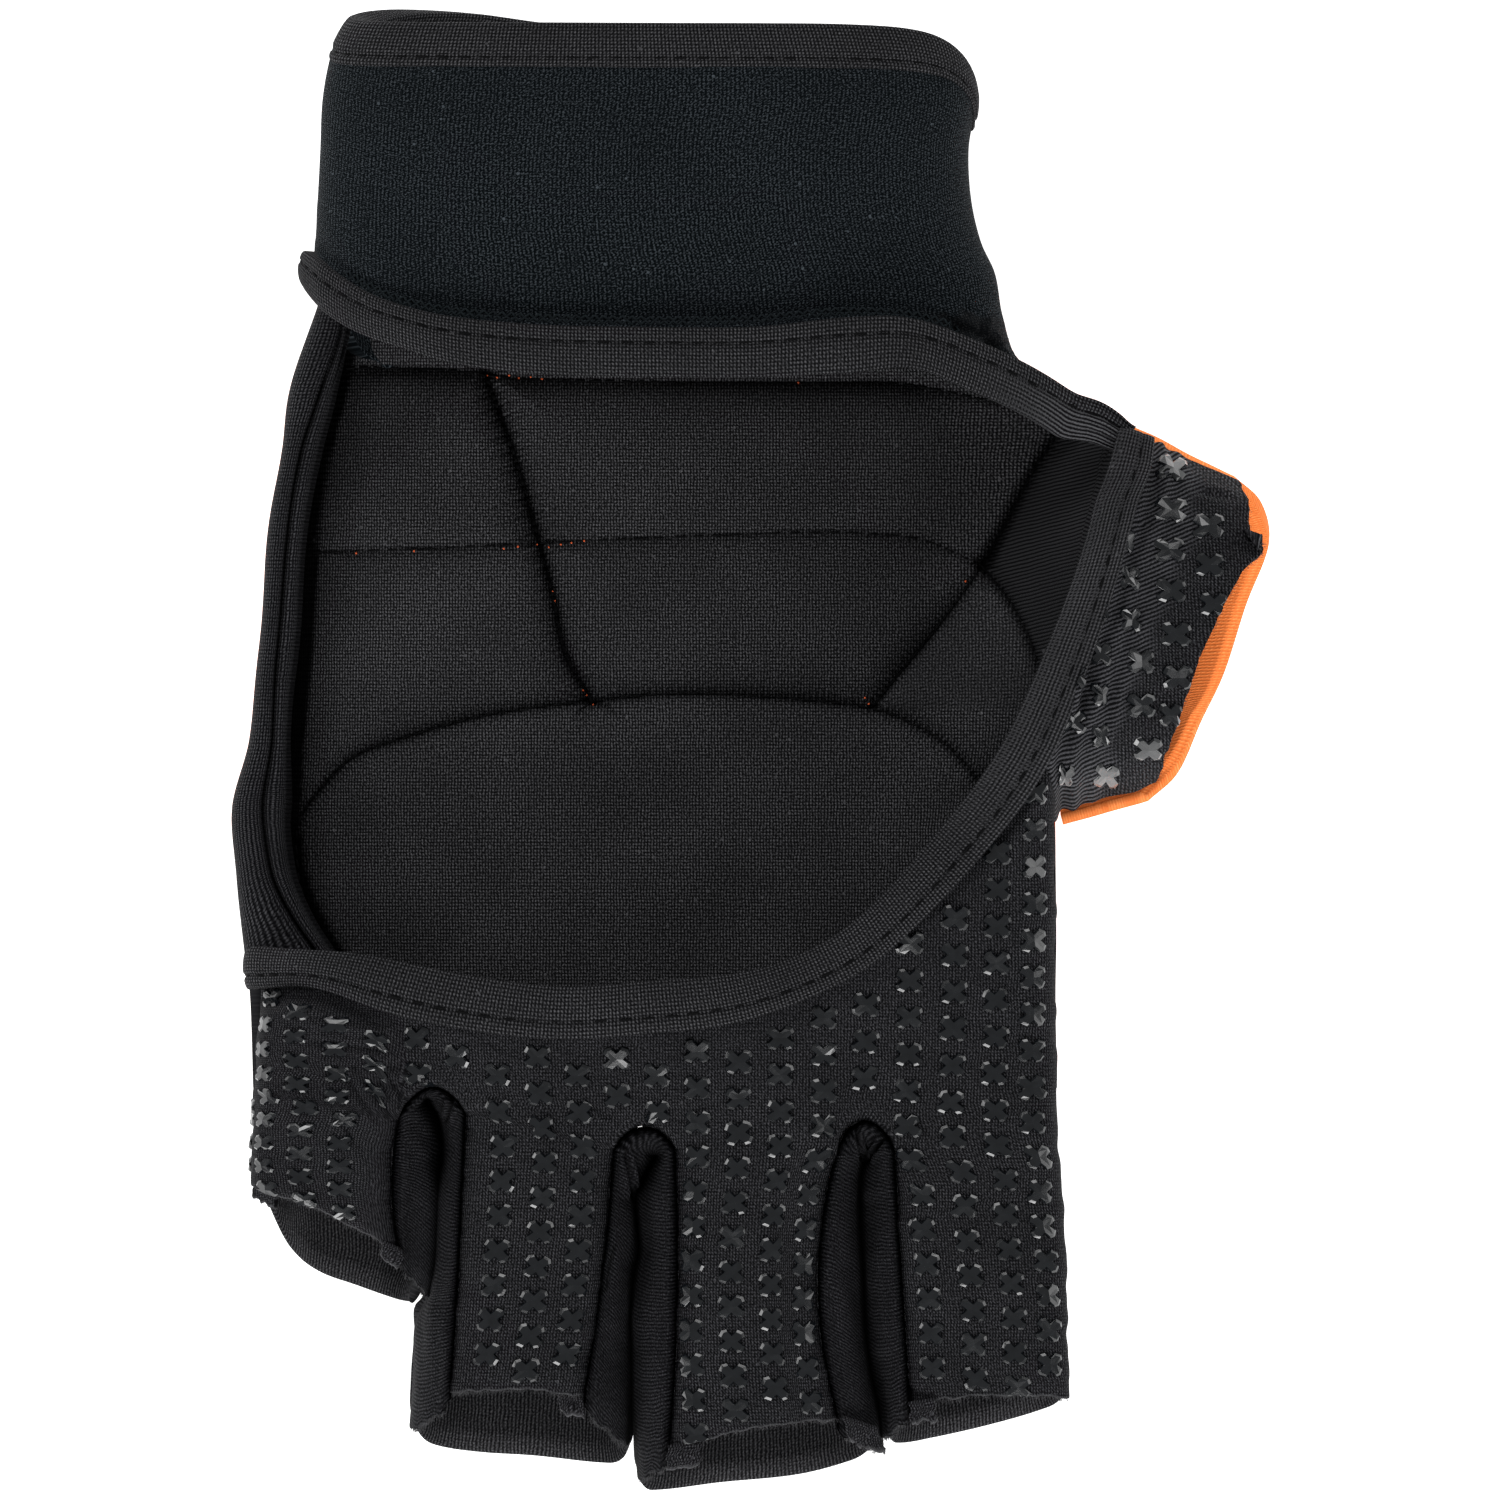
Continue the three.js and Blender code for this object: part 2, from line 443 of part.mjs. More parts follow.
function openingBinding() {
  const places = steps(0, openingTape.length - 1, (openingTape.length - 1) * 2);
  const inner = places.map((place) => {
    const at = (name) => along(openingTape, 'index', name, place);
    return new THREE.Vector3(at('inX'), at('inY'), at('z'));
  });
  const outer = places.map(tapeEdge);
  const sections = places.map((_, i) => {
    const [before, after] = [Math.max(i - 1, 0), Math.min(i + 1, places.length - 1)];
    const forward = outer[after].clone().add(inner[after]).sub(outer[before]).sub(inner[before]);
    const across = outer[i].clone().sub(inner[i]);
    const up = forward.cross(across).normalize();
    return tapeSection.map((corner) => inner[i].clone().addScaledVector(across, corner.across)
      .addScaledVector(up, corner.up * tapeThickness));
  });
  return piece('opening_binding', sweptSolid(sections, false), cloth.tape);
}

// A point of the wrist band's outer face: the loop is a flattened round whose width follows
// the two sides of the glove at that height.
function cuffPoint(angle, y) {
  const left = along(cuffSides, 'y', 'left', y);
  const right = along(cuffSides, 'y', 'right', y);
  const power = 2 / cuffHeight.roundness;
  const radians = THREE.MathUtils.degToRad(angle);
  const wide = Math.sign(Math.cos(radians)) * Math.abs(Math.cos(radians)) ** power;
  const high = Math.sign(Math.sin(radians)) * Math.abs(Math.sin(radians)) ** power;
  const middle = (cuffHeight.top + cuffHeight.bottom) / 2;
  return new THREE.Vector3(
    (left + right) / 2 + ((right - left) / 2) * wide,
    y,
    middle + ((cuffHeight.top - cuffHeight.bottom) / 2) * high,
  );
}

// rows of the tape's table: the middle and the end of its course across the wrist, and where
// it starts back under the palm
const wristCrossingMiddle = 7;
const wristCrossingEnd = 12;
const palmCrossingStart = 17;
const passes = 6; // to settle on the height at which the band meets the tape
const cuffAngles = steps(360, 0, cuffSteps.round).slice(0, -1);

// the lower edge of the band: just clear of the tape on the palm side
function cuffBottomY(angle) {
  if (angle > 180) return along(cuffFoot, 'angle', 'y', angle);
  const crossing = openingTape.slice(1, wristCrossingEnd);
  let y = openingTape[wristCrossingMiddle].outY;
  for (let pass = 0; pass < passes; pass += 1) {
    y = along(crossing, 'outX', 'outY', cuffPoint(angle, y).x) + tapeGap;
  }
  return y;
}

function cuffBand() {
  const rows = steps(0, 1, cuffSteps.down);
  const outer = rows.map((v) => cuffAngles.map((angle) => {
    const top = along(cuffTop, 'angle', 'y', angle) - cuffTape.width / 2;
    return cuffPoint(angle, lerp(top, cuffBottomY(angle), v));
  }));
  const inner = offsetGrid(outer, () => neopreneWall, true);
  return piece('cuff_band', wallSolid(outer, inner, true), cloth.neoprene);
}

// The tape folded over the wrist edge: a rounded bar that caps the band's edge.
function cuffTopBinding() {
  const sections = cuffAngles.map((angle, i) => {
    const top = along(cuffTop, 'angle', 'y', angle);
    const foot = top - cuffTape.width / 2 + cuffTape.clear;
    const point = cuffPoint(angle, top);
    const below = cuffPoint(angle, foot);
    const next = cuffPoint(cuffAngles[(i + 1) % cuffAngles.length], top);
    const back = cuffPoint(cuffAngles[(i + cuffAngles.length - 1) % cuffAngles.length], top);
    const down = below.clone().sub(point);
    const inward = next.sub(back).cross(down).normalize();
    const thick = neopreneWall + 2 * cuffTape.proud;
    return tapeSection.map((corner) => point.clone().addScaledVector(down, corner.across)
      .addScaledVector(inward, (corner.up + 0.5) * thick - cuffTape.proud));
  });
  return piece('cuff_top_binding', sweptSolid(sections, true), cloth.tape);
}

function ulnarSideBand() {
  const rows = steps(sideBand[0].y, sideBand[sideBand.length - 1].y, bandSteps);
  const outer = rows.map((y) => bandSection.map(({ setIn, over, rise }) => {
    const at = (name) => along(sideBand, 'y', name, y);
    const x = lerp(at('outer'), at('inner'), over) + setIn;
    return new THREE.Vector3(x, y, lerp(seamHeight, at('top'), rise));
  }));
  const inner = offsetGrid(outer, () => bandThickness);
  return piece('ulnar_side_band', wallSolid(outer, inner), cloth.tape);
}

// Columns of the back of the hand: close together at the turned-up sides, and one on each
// of the two long seams (fields of the quilting lie between them).
const fieldEdge = { ulnar: 0.32, thumb: 0.8 };
const backColumns = [0, 0.012, 0.045, 0.1, 0.17, 0.25, ...steps(fieldEdge.ulnar, fieldEdge.thumb, 7),
  0.86, 0.93, 0.97, 0.988, 1];
const backRows = [...steps(0, 1, 4), ...steps(1, 2, 4).slice(1), ...steps(2, 3, 6).slice(1)];
const rowNames = ['top', 'knuckle', 'lower', 'end'];
const roughSides = { left: -64, right: 42 }; // to find a row's place before its true sides are known
const padRim = 0.1;        // share across over which the pad thins to its edges
const endRise = 6;         // how soon the last field is full, in fields
const pillowPower = 4;

// the field of the quilting that lies at u, and the share of the way across it
function acrossAt(u) {
  const edges = [0, fieldEdge.ulnar, fieldEdge.thumb, 1];
  const field = edges.slice(1, 3).filter((edge) => u >= edge).length;
  return { field, share: (u - edges[field]) / (edges[field + 1] - edges[field]) };
}

function longSeamX(side, v) {
  const k = Math.min(Math.floor(v), 2);
  return lerp(longSeams[k][side], longSeams[k + 1][side], v - k);
}

// A point of the back's underside, from its column u and its row v (whole rows are seams).
function backPoint(u, v) {
  const k = Math.min(Math.floor(v), 2);
  const rowAt = (name, x) => along(crossSeams, 'x', name, x);
  const yAt = (x) => lerp(rowAt(rowNames[k], x), rowAt(rowNames[k + 1], x), v - k);
  const guess = yAt(lerp(roughSides.left, roughSides.right, u));
  const left = along(backOutline, 'y', 'left', guess);
  const right = along(backOutline, 'y', 'right', guess);
  const seams = [left, longSeamX('ulnar', v), longSeamX('thumb', v), right];
  const { field, share } = acrossAt(u);
  const x = lerp(seams[field], seams[field + 1], share);
  const y = yAt(x);
  const s = Math.abs((2 * (x - left)) / (right - left) - 1);
  const rim = along(backOutline, 'y', x < (left + right) / 2 ? 'rimLeft' : 'rimRight', y);
  return new THREE.Vector3(x, y, rim * (1 - (1 - Math.min(s, 1) ** backRoundness) ** (1 / backRoundness)));
}

// How thick the pad is: full in the middle of each quilted field, thin along the seams.
function padThickness(u, v) {
  const pillow = (s) => 1 - (2 * s - 1) ** pillowPower;
  const k = Math.min(Math.floor(v), 2);
  const alongField = k === 2 ? Math.min(1, endRise * (v - 2)) : pillow(v - k);
  const acrossField = pillow(k === 2 ? u : acrossAt(u).share);
  const atRim = Math.min(1, Math.min(u, 1 - u) / padRim);
  const full = k < 2 && u > fieldEdge.thumb ? padSideThickness : padCrownThickness;
  const crown = lerp(Math.min(full, padCrossThickness), full, alongField);
  return lerp(lerp(padRimThickness, padSeamThickness, atRim), crown, acrossField * atRim);
}

function handBack() {
  const under = backRows.map((v) => backColumns.map((u) => backPoint(u, v)));
  // the first and last row keep their place along the hand, so that the ends are square
  const raised = (grid, depthAt) => offsetGrid(grid, depthAt).map((row, r) => row.map((point, c) => (
    r === 0 || r === grid.length - 1 ? point.setY(under[r][c].y) : point)));
  const face = raised(under, (r, c) => -padThickness(backColumns[c], backRows[r]));
  const reaching = (grid) => grid.map((row) => row.map((point, c) => {
    const share = Math.max(0, (backColumns[c] - linerReachFrom) / (1 - linerReachFrom));
    const at = (name) => along(linerReach, 'y', name, point.y);
    return point.clone().add(new THREE.Vector3(at('out') * share, 0, at('up') * share ** 2));
  }));
  // the turned-up edge is too tight for the liner, which leaves out the column next to it
  const eased = (grid) => grid.map((row) => row.filter((_, c) => c !== 1 && c !== row.length - 2));
  const reached = reaching(face);
  const linerUnder = eased(raised(reached, () => -linerGap));
  const linerFace = eased(raised(reached, () => -(linerGap + linerWall)));
  return [
    piece('back_pad', wallSolid(under, face), cloth.orange),
    piece('back_liner', wallSolid(linerUnder, linerFace), cloth.liner),
  ];
}

// Heights and places on the palm panel. Down a line, v is 0 at the tape, 1 at the finger
// roots and 2 at the raw finger end.
const palmLine = Object.fromEntries(palmLines.map((row) => [row.line, row]));

// the place on the tape's outer edge that lies at this x, under the palm
function tapeYAt(x) {
  const under = openingTape.slice(palmCrossingStart).map((row) => ({ x: -row.outX, y: row.outY }));
  return along(under, 'x', 'y', -x);
}

// where the panel begins below the tape: the gap between them is square to the tape
function panelTopY(x) {
  const slope = tapeYAt(x + 0.5) - tapeYAt(x - 0.5);
  return tapeYAt(x) - tapeGap * Math.hypot(1, slope) - Math.max(0, x - thumbCut.from) * thumbCut.slope;
}

function palmLinePoint(line, v) {
  const upper = v <= 1;
  const t = upper ? v : v - 1;
  const topY = panelTopY(line.topX);
  const bow = upper ? 0 : 4 * t * (1 - t) * (line.midX - (line.forkX + line.endX) / 2);
  const x = bow + (upper ? lerp(line.topX, line.forkX, t) : lerp(line.forkX, line.endX, t));
  const y = upper ? lerp(topY, line.forkY, t) : lerp(line.forkY, line.endY, t);
  const z = upper ? lerp(line.topZ, line.forkZ, 1 - (1 - t) ** palmFall) : lerp(line.forkZ, line.endZ, t);
  return new THREE.Vector3(x, y, z);
}

// Across a finger strip, s runs from its left line to its right line. At the outer seams
// of the hand the panel turns down round the side.
function palmPoint(left, right, s, v) {
  const a = palmLinePoint(left, v);
  const b = palmLinePoint(right, v);
  const rounded = (s01, round) => (1 - (1 - s01) ** round) ** (1 / round);
  const point = a.clone().lerp(b, s);
  if (v < 1) point.y = lerp(panelTopY(point.x), lerp(left.forkY, right.forkY, s), v);
  if (left.line === 'leftSeam') point.z = lerp(a.z, b.z, rounded(s, palmRound.left));
  else if (right.line === 'rightSeam') point.z = lerp(b.z, a.z, rounded(1 - s, palmRound.right));
  else point.z += fingerCrown * (1 - (2 * s - 1) ** 2) * Math.min(1, v);
  if (v > 1) point.y += fingerDip * (1 - (2 * s - 1) ** 2) * (v - 1);
  return point;
}

function palmPanel() {
  const strips = [
    { left: 'leftSeam', right: 'littleRight', at: [0, 0.008, 0.03, 0.1, 0.22, 0.45, 0.72, 1] },
    { left: 'ringLeft', right: 'ringRight', at: steps(0, 1, 4) },
    { left: 'middleLeft', right: 'middleRight', at: steps(0, 1, 5) },
    { left: 'indexLeft', right: 'rightSeam', at: [0, 0.28, 0.5, 0.68, 0.8, 0.92, 0.98, 0.995, 1] },
  ];
  const arches = ['archLittle', 'archRing', 'archMiddle'];
  const columns = [];
  strips.forEach((strip, i) => {
    strip.at.forEach((s) => columns.push({ strip, s }));
    if (arches[i]) columns.push({ arch: palmLine[arches[i]] });
  });
  const rows = [...steps(0, 1, palmSteps.upper), ...steps(1, 2, palmSteps.finger).slice(1)];
  const outer = rows.map((v) => columns.map(({ strip, s, arch }) => {
    if (strip) return palmPoint(palmLine[strip.left], palmLine[strip.right], s, v);
    const point = palmLinePoint(arch, Math.min(v, 1));
    if (v < 1) point.y = lerp(panelTopY(point.x), arch.forkY, v);
    return point;
  }));
  const inner = offsetGrid(outer, () => clothWall);
  const inSlot = (c) => Boolean(columns[c].arch || columns[c + 1].arch);
  const keep = (r, c) => r < palmSteps.upper || !inSlot(c);
  return piece('palm_panel', wallSolid(outer, inner, false, keep), cloth.palm);
}

// A side wall between two fingers: from the end of one finger up its side, round the fork
// and down the side of the next. Its upper edge lies under the strips' seams.
function gussetPiece(gusset) {
  const [from, arch, to] = [palmLine[gusset.from], palmLine[gusset.arch], palmLine[gusset.to]];
  const under = clothWall + seamGap;
  const lift = (point, tuck) => new THREE.Vector3(point.x + tuck, point.y, point.z - under);
  const fromSide = steps(2, 1, gussetSteps).map((v) => lift(palmLinePoint(from, v), -gussetTuck.side));
  const toSide = steps(1, 2, gussetSteps).map((v) => lift(palmLinePoint(to, v), gussetTuck.side));
  const crown = lift(new THREE.Vector3(arch.forkX, arch.forkY - gussetTuck.fork, arch.forkZ), 0);
  const corner = (side) => new THREE.Vector3(...['x', 'y', 'z'].map((axis) => (
    lerp(side[axis], crown[axis], gussetCorner[axis]))));
  const top = [...fromSide, corner(fromSide[gussetSteps]), crown, corner(toSide[0]), ...toSide];
  const footAt = (x, y) => new THREE.Vector3(x, y, valleyHeight);
  const follow = (line, share, shift) => {
    const at = (name) => along(line, 'index', name, share * (line.length - 1));
    return footAt(at('x') + shift, at('y'));
  };
  const [fork] = gusset.slit;
  const forkFoot = [135, 90, 45].map(THREE.MathUtils.degToRad).map((turn) => (
    footAt(fork.x + gussetHalfGap * Math.cos(turn), fork.y + gussetHalfGap * Math.sin(turn))));
  const fromLine = [...gusset.slit, ...gusset.fromTail];
  const toLine = [...gusset.slit, ...gusset.toTail];
  const foot = [
    ...steps(1, 0, gussetSteps).map((share) => follow(fromLine, share, -gussetHalfGap)),
    ...forkFoot,
    ...steps(0, 1, gussetSteps).map((share) => follow(toLine, share, gussetHalfGap)),
  ];
  const heights = steps(0, 1, gussetHeights);
  const outer = heights.map((h) => top.map((point, i) => {
    const reach = 1 - (1 - h) ** gussetRoll;
    const [x, y] = [lerp(point.x, foot[i].x, reach), lerp(point.y, foot[i].y, reach)];
    return new THREE.Vector3(x, y, lerp(point.z, foot[i].z, h));
  }));
  const inner = offsetGrid(outer, () => gussetWall);
  return piece(gusset.name, wallSolid(outer, inner), cloth.knit);
}

function fingerBack(back) {
  const outer = fingerRows.map((v) => fingerColumns.map((u) => {
    const s = Math.abs(2 * u - 1);
    const rise = fingerPad.rim * (1 - (1 - s ** fingerPad.roundness) ** (1 / fingerPad.roundness));
    const x = lerp(along(back.left, 'v', 'x', v), along(back.right, 'v', 'x', v), u);
    const y = lerp(handEnd - seamGap, along(back.tip, 'u', 'y', u), v);
    return new THREE.Vector3(x, y, rise + fingerPad.tipLift * v ** 3);
  }));
  const inner = offsetGrid(outer, (r, c) => {
    const fromSide = Math.min(fingerColumns[c], 1 - fingerColumns[c]);
    return -lerp(fingerPad.edge, fingerPad.thick, Math.min(1, fromSide / fingerPad.thinning));
  });
  return piece(back.name, wallSolid(outer, inner), cloth.knit);
}

// a half tube between a root line and an end line, from a table with both
function halfTube(rows, places, spans) {
  return steps(0, 1, spans).map((v) => places.map((place) => {
    const between = (axis) => lerp(
      along(rows, 'index', `root${axis}`, place), along(rows, 'index', `end${axis}`, place), v);
    return new THREE.Vector3(between('X'), between('Y'), between('Z'));
  }));
}

function thumbPieces() {
  const palmGrid = halfTube(thumbPalm, steps(0, thumbPalm.length - 1, thumbSteps.palm), thumbSteps.along);
  const backGrid = halfTube(thumbBack, steps(0, thumbBack.length - 1, thumbSteps.back), thumbSteps.along);
  const palmInner = offsetGrid(palmGrid, () => -clothWall);
  const backInner = offsetGrid(backGrid, (r, c) => {
    const fromEdge = Math.min(c, thumbSteps.back - c);
    return lerp(clothWall, thumbBackThickness, Math.min(1, fromEdge / thumbSteps.edge));
  });
  return [
    piece('thumb_palm', wallSolid(palmGrid, palmInner), cloth.palm),
    piece('thumb_back', wallSolid(backGrid, backInner), cloth.orange),
  ];
}

const glove = new THREE.Group();
glove.add(cuffBand(), cuffTopBinding(), openingBinding(), ulnarSideBand(), ...handBack());
glove.add(palmPanel(), ...gussets.map(gussetPiece), ...fingerBacks.map(fingerBack), ...thumbPieces());

export default glove;
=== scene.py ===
# Field hockey glove for the left hand, open palm and short fingers, lying palm up.
# All shapes are worked out in millimetres and put into the meshes in metres.
import math
import bpy
import numpy as np
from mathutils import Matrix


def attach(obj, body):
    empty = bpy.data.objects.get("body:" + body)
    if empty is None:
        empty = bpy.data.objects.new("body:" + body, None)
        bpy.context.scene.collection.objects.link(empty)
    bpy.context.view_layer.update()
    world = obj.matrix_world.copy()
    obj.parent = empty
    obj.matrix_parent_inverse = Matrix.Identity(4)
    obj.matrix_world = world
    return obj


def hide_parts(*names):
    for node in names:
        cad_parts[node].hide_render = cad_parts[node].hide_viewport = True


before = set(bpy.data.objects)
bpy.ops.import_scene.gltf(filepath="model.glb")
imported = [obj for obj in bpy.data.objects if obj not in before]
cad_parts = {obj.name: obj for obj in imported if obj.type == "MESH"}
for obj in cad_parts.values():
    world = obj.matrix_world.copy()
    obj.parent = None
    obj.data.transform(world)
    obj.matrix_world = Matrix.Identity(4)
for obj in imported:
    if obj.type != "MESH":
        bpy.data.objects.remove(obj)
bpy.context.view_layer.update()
mm = 0.001
print("frame loaded:", len(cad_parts), "nodes")


# Tables and curves

def table(names, rows):
    # one array for each named column, in millimetres
    return dict(zip(names.split(), np.array(rows, float).T))


def along(rows, key, column, at):
    # smooth curve through a column: cubic pieces whose slopes are those of the neighbours' chord
    y = rows[column]
    x = np.arange(len(y), dtype=float) if key == "index" else rows[key]
    at = np.asarray(at, float)
    if x[-1] < x[0]:
        x, at = -x, -at
    at = np.clip(at, x[0], x[-1])
    slope = np.empty_like(y)
    slope[1:-1] = (y[2:] - y[:-2]) / (x[2:] - x[:-2])
    slope[0] = (y[1] - y[0]) / (x[1] - x[0])
    slope[-1] = (y[-1] - y[-2]) / (x[-1] - x[-2])
    k = np.clip(np.searchsorted(x, at, side="right") - 1, 0, len(x) - 2)
    span = x[k + 1] - x[k]
    t = (at - x[k]) / span
    start = (2 * t**3 - 3 * t**2 + 1) * y[k] + (t**3 - 2 * t**2 + t) * span * slope[k]
    return start + (3 * t**2 - 2 * t**3) * y[k + 1] + (t**3 - t**2) * span * slope[k + 1]


def mix(a, b, t):
    return a + (b - a) * t


def smooth(a, b, x):
    # 0 below a, 1 above b, and a smooth step between
    t = np.clip((x - a) / (b - a), 0, 1)
    return t * t * (3 - 2 * t)


def ripple(x, y, size, seed):
    # soft noise, mostly from -1 to 1: fourteen plane waves of about that size added up, seeded
    rng = np.random.default_rng(seed)
    turns, phases, stretches = rng.uniform(0, np.pi, 14), rng.uniform(0, 6.28, 14), rng.uniform(0.7, 1.5, 14)
    total = np.zeros(np.broadcast(x, y).shape)
    for turn, phase, stretch in zip(turns, phases, stretches):
        total += np.sin((x * np.cos(turn) + y * np.sin(turn)) * 2 * np.pi / (size * stretch) + phase)
    return total / 5


def seamDistance(x, y, points):
    # distance to a polyline, the place along it in mm, and the side (+ left of its direction)
    points = np.array(points, float)
    near = np.full(x.shape, 1e9)
    place = np.zeros(x.shape)
    side = np.zeros(x.shape)
    run = 0.0
    for (ax, ay), (bx, by) in zip(points[:-1], points[1:]):
        dx, dy = bx - ax, by - ay
        length = math.hypot(dx, dy)
        t = np.clip(((x - ax) * dx + (y - ay) * dy) / length**2, 0, 1)
        distance = np.hypot(x - ax - t * dx, y - ay - t * dy)
        closer = distance < near
        near = np.where(closer, distance, near)
        place = np.where(closer, run + t * length, place)
        side = np.where(closer, np.sign(dx * (y - ay) - dy * (x - ax)), side)
        run += length
    return near, place, side


def smoothLine(points, count):
    # a smooth curve through a few points, evenly spaced in the points' own order
    rows = table(" ".join("xyz"[:len(points[0])]), points)
    at = np.linspace(0, len(points) - 1, count)
    return np.stack([along(rows, "index", name, at) for name in rows], -1)


def evenLine(points, count):
    # the same curve with equal steps along it
    line = smoothLine(points, 20 * len(points))
    run = np.concatenate([[0], np.cumsum(np.linalg.norm(np.diff(line, axis=0), axis=1))])
    at = np.linspace(0, run[-1], count)
    return np.stack([np.interp(at, run, line[:, k]) for k in range(line.shape[1])], -1)


# Meshes

def tangents(grid, closedAcross=False):
    if closedAcross:
        across = np.roll(grid, -1, 1) - np.roll(grid, 1, 1)
    else:
        across = np.gradient(grid, axis=1)
    return across, np.gradient(grid, axis=0)


def normalsOf(grid, closedAcross=False, faceUp=False):
    # unit normals: across times down, or turned over
    across, down = tangents(grid, closedAcross)
    normal = np.cross(across, down) * (-1 if faceUp else 1)
    return normal / np.maximum(np.linalg.norm(normal, axis=-1, keepdims=True), 1e-9)


def upNormals(grid):
    # the normals of the side that faces up on the whole
    normal = normalsOf(grid)
    return normal * np.sign(normal[..., 2:].mean())


def meshFrom(name, points, faces, clothUv, attributes=None, caps=None):
    # points in millimetres, faces and caps as rows of point numbers, one uv pair for every face corner;
    # caps are triangles that close the ends, with no cloth coordinates of their own
    faceSets = [faces] if caps is None else [faces, caps]
    corners = np.concatenate([rows.ravel() for rows in faceSets])
    sides = np.concatenate([np.full(len(rows), rows.shape[1]) for rows in faceSets])
    used, corners = np.unique(corners, return_inverse=True)
    mesh = bpy.data.meshes.new(name)
    mesh.vertices.add(len(used))
    mesh.vertices.foreach_set("co", (points[used] * mm).astype(np.float32).ravel())
    mesh.loops.add(len(corners))
    mesh.loops.foreach_set("vertex_index", corners.astype(np.int32).ravel())
    mesh.polygons.add(len(sides))
    mesh.polygons.foreach_set("loop_start", (np.cumsum(sides) - sides).astype(np.int32))
    mesh.update(calc_edges=True)
    mesh.validate()
    mesh.polygons.foreach_set("use_smooth", np.ones(len(mesh.polygons), bool))
    flat = np.zeros((len(corners), 2))
    flat[:faces.size] = clothUv.reshape(-1, 2)
    layer = mesh.uv_layers.new(name="cloth")
    layer.data.foreach_set("uv", flat.astype(np.float32).ravel())
    for key, values in (attributes or {}).items():
        # points beyond the marks, such as the middles of the caps, carry 0
        marks = np.zeros(len(points))
        marks[:np.size(values)] = np.ravel(values)
        entry = mesh.attributes.new(key, "FLOAT", "POINT")
        entry.data.foreach_set("value", marks[used].astype(np.float32))
    piece = bpy.data.objects.new(name, mesh)
    bpy.context.scene.collection.objects.link(piece)
    return piece


def clothGrid(grid, closedAcross=False):
    # cloth coordinates of a grid in mm: mean arc length across and down
    wrapped = np.concatenate([grid, grid[:, :1]], 1) if closedAcross else grid
    across = np.linalg.norm(np.diff(wrapped, axis=1), axis=2).mean(0)
    down = np.linalg.norm(np.diff(wrapped, axis=0), axis=2).mean(1)
    u = np.concatenate([[0], np.cumsum(across)])
    v = np.concatenate([[0], np.cumsum(down)])
    return np.stack(np.meshgrid(u, v), -1)


def cellFaces(rows, count, closedAcross=False, keep=None):
    cells = count if closedAcross else count - 1
    r, c = np.meshgrid(np.arange(rows - 1), np.arange(cells), indexing="ij")
    if keep is not None:
        r, c = r[keep], c[keep]
    r, c = r.ravel(), c.ravel()
    right = (c + 1) % count
    faces = np.stack([r * count + c, r * count + right, (r + 1) * count + right, (r + 1) * count + c], 1)
    wide = count + 1 if closedAcross else count
    corners = np.stack([r * wide + c, r * wide + c + 1, (r + 1) * wide + c + 1, (r + 1) * wide + c], 1)
    return faces, corners


def sheetPiece(name, grid, thickness, closedAcross=False, faceUp=False, keep=None, uv=None, attributes=None):
    # a cloth wall: the grid is its outer face, and Solidify gives it its thickness inwards
    uv = clothGrid(grid, closedAcross) if uv is None else uv
    faces, corners = cellFaces(grid.shape[0], grid.shape[1], closedAcross, keep)
    if faceUp:
        faces, corners = faces[:, ::-1], corners[:, ::-1]
    piece = meshFrom(name, grid.reshape(-1, 3), faces, uv.reshape(-1, 2)[corners], attributes)
    wall = piece.modifiers.new("wall", "SOLIDIFY")
    wall.thickness = thickness * mm
    wall.offset = -1
    wall.use_even_offset = False
    return piece


def paddedPiece(name, outer, inner, faceUp=False, attributes=None):
    # a closed body between an outer and an inner grid, joined all round its edge
    rows, count = outer.shape[:2]
    shift = rows * count
    faces, corners = cellFaces(rows, count)
    uv = clothGrid(outer)
    ring = np.concatenate([
        np.arange(count), np.arange(1, rows) * count + count - 1,
        (rows - 1) * count + np.arange(count - 2, -1, -1), np.arange(rows - 2, 0, -1) * count])
    after = np.roll(ring, -1)
    rim = np.stack([after, ring, ring + shift, after + shift], 1)
    allFaces = np.concatenate([faces, faces[:, ::-1] + shift, rim])
    uvFlat = np.concatenate([uv.reshape(-1, 2)] * 2)
    if faceUp:
        allFaces = allFaces[:, ::-1]
    points = np.concatenate([outer.reshape(-1, 3), inner.reshape(-1, 3)])
    both = {key: np.concatenate([values.ravel()] * 2) for key, values in (attributes or {}).items()}
    return meshFrom(name, points, allFaces, uvFlat[allFaces], both)


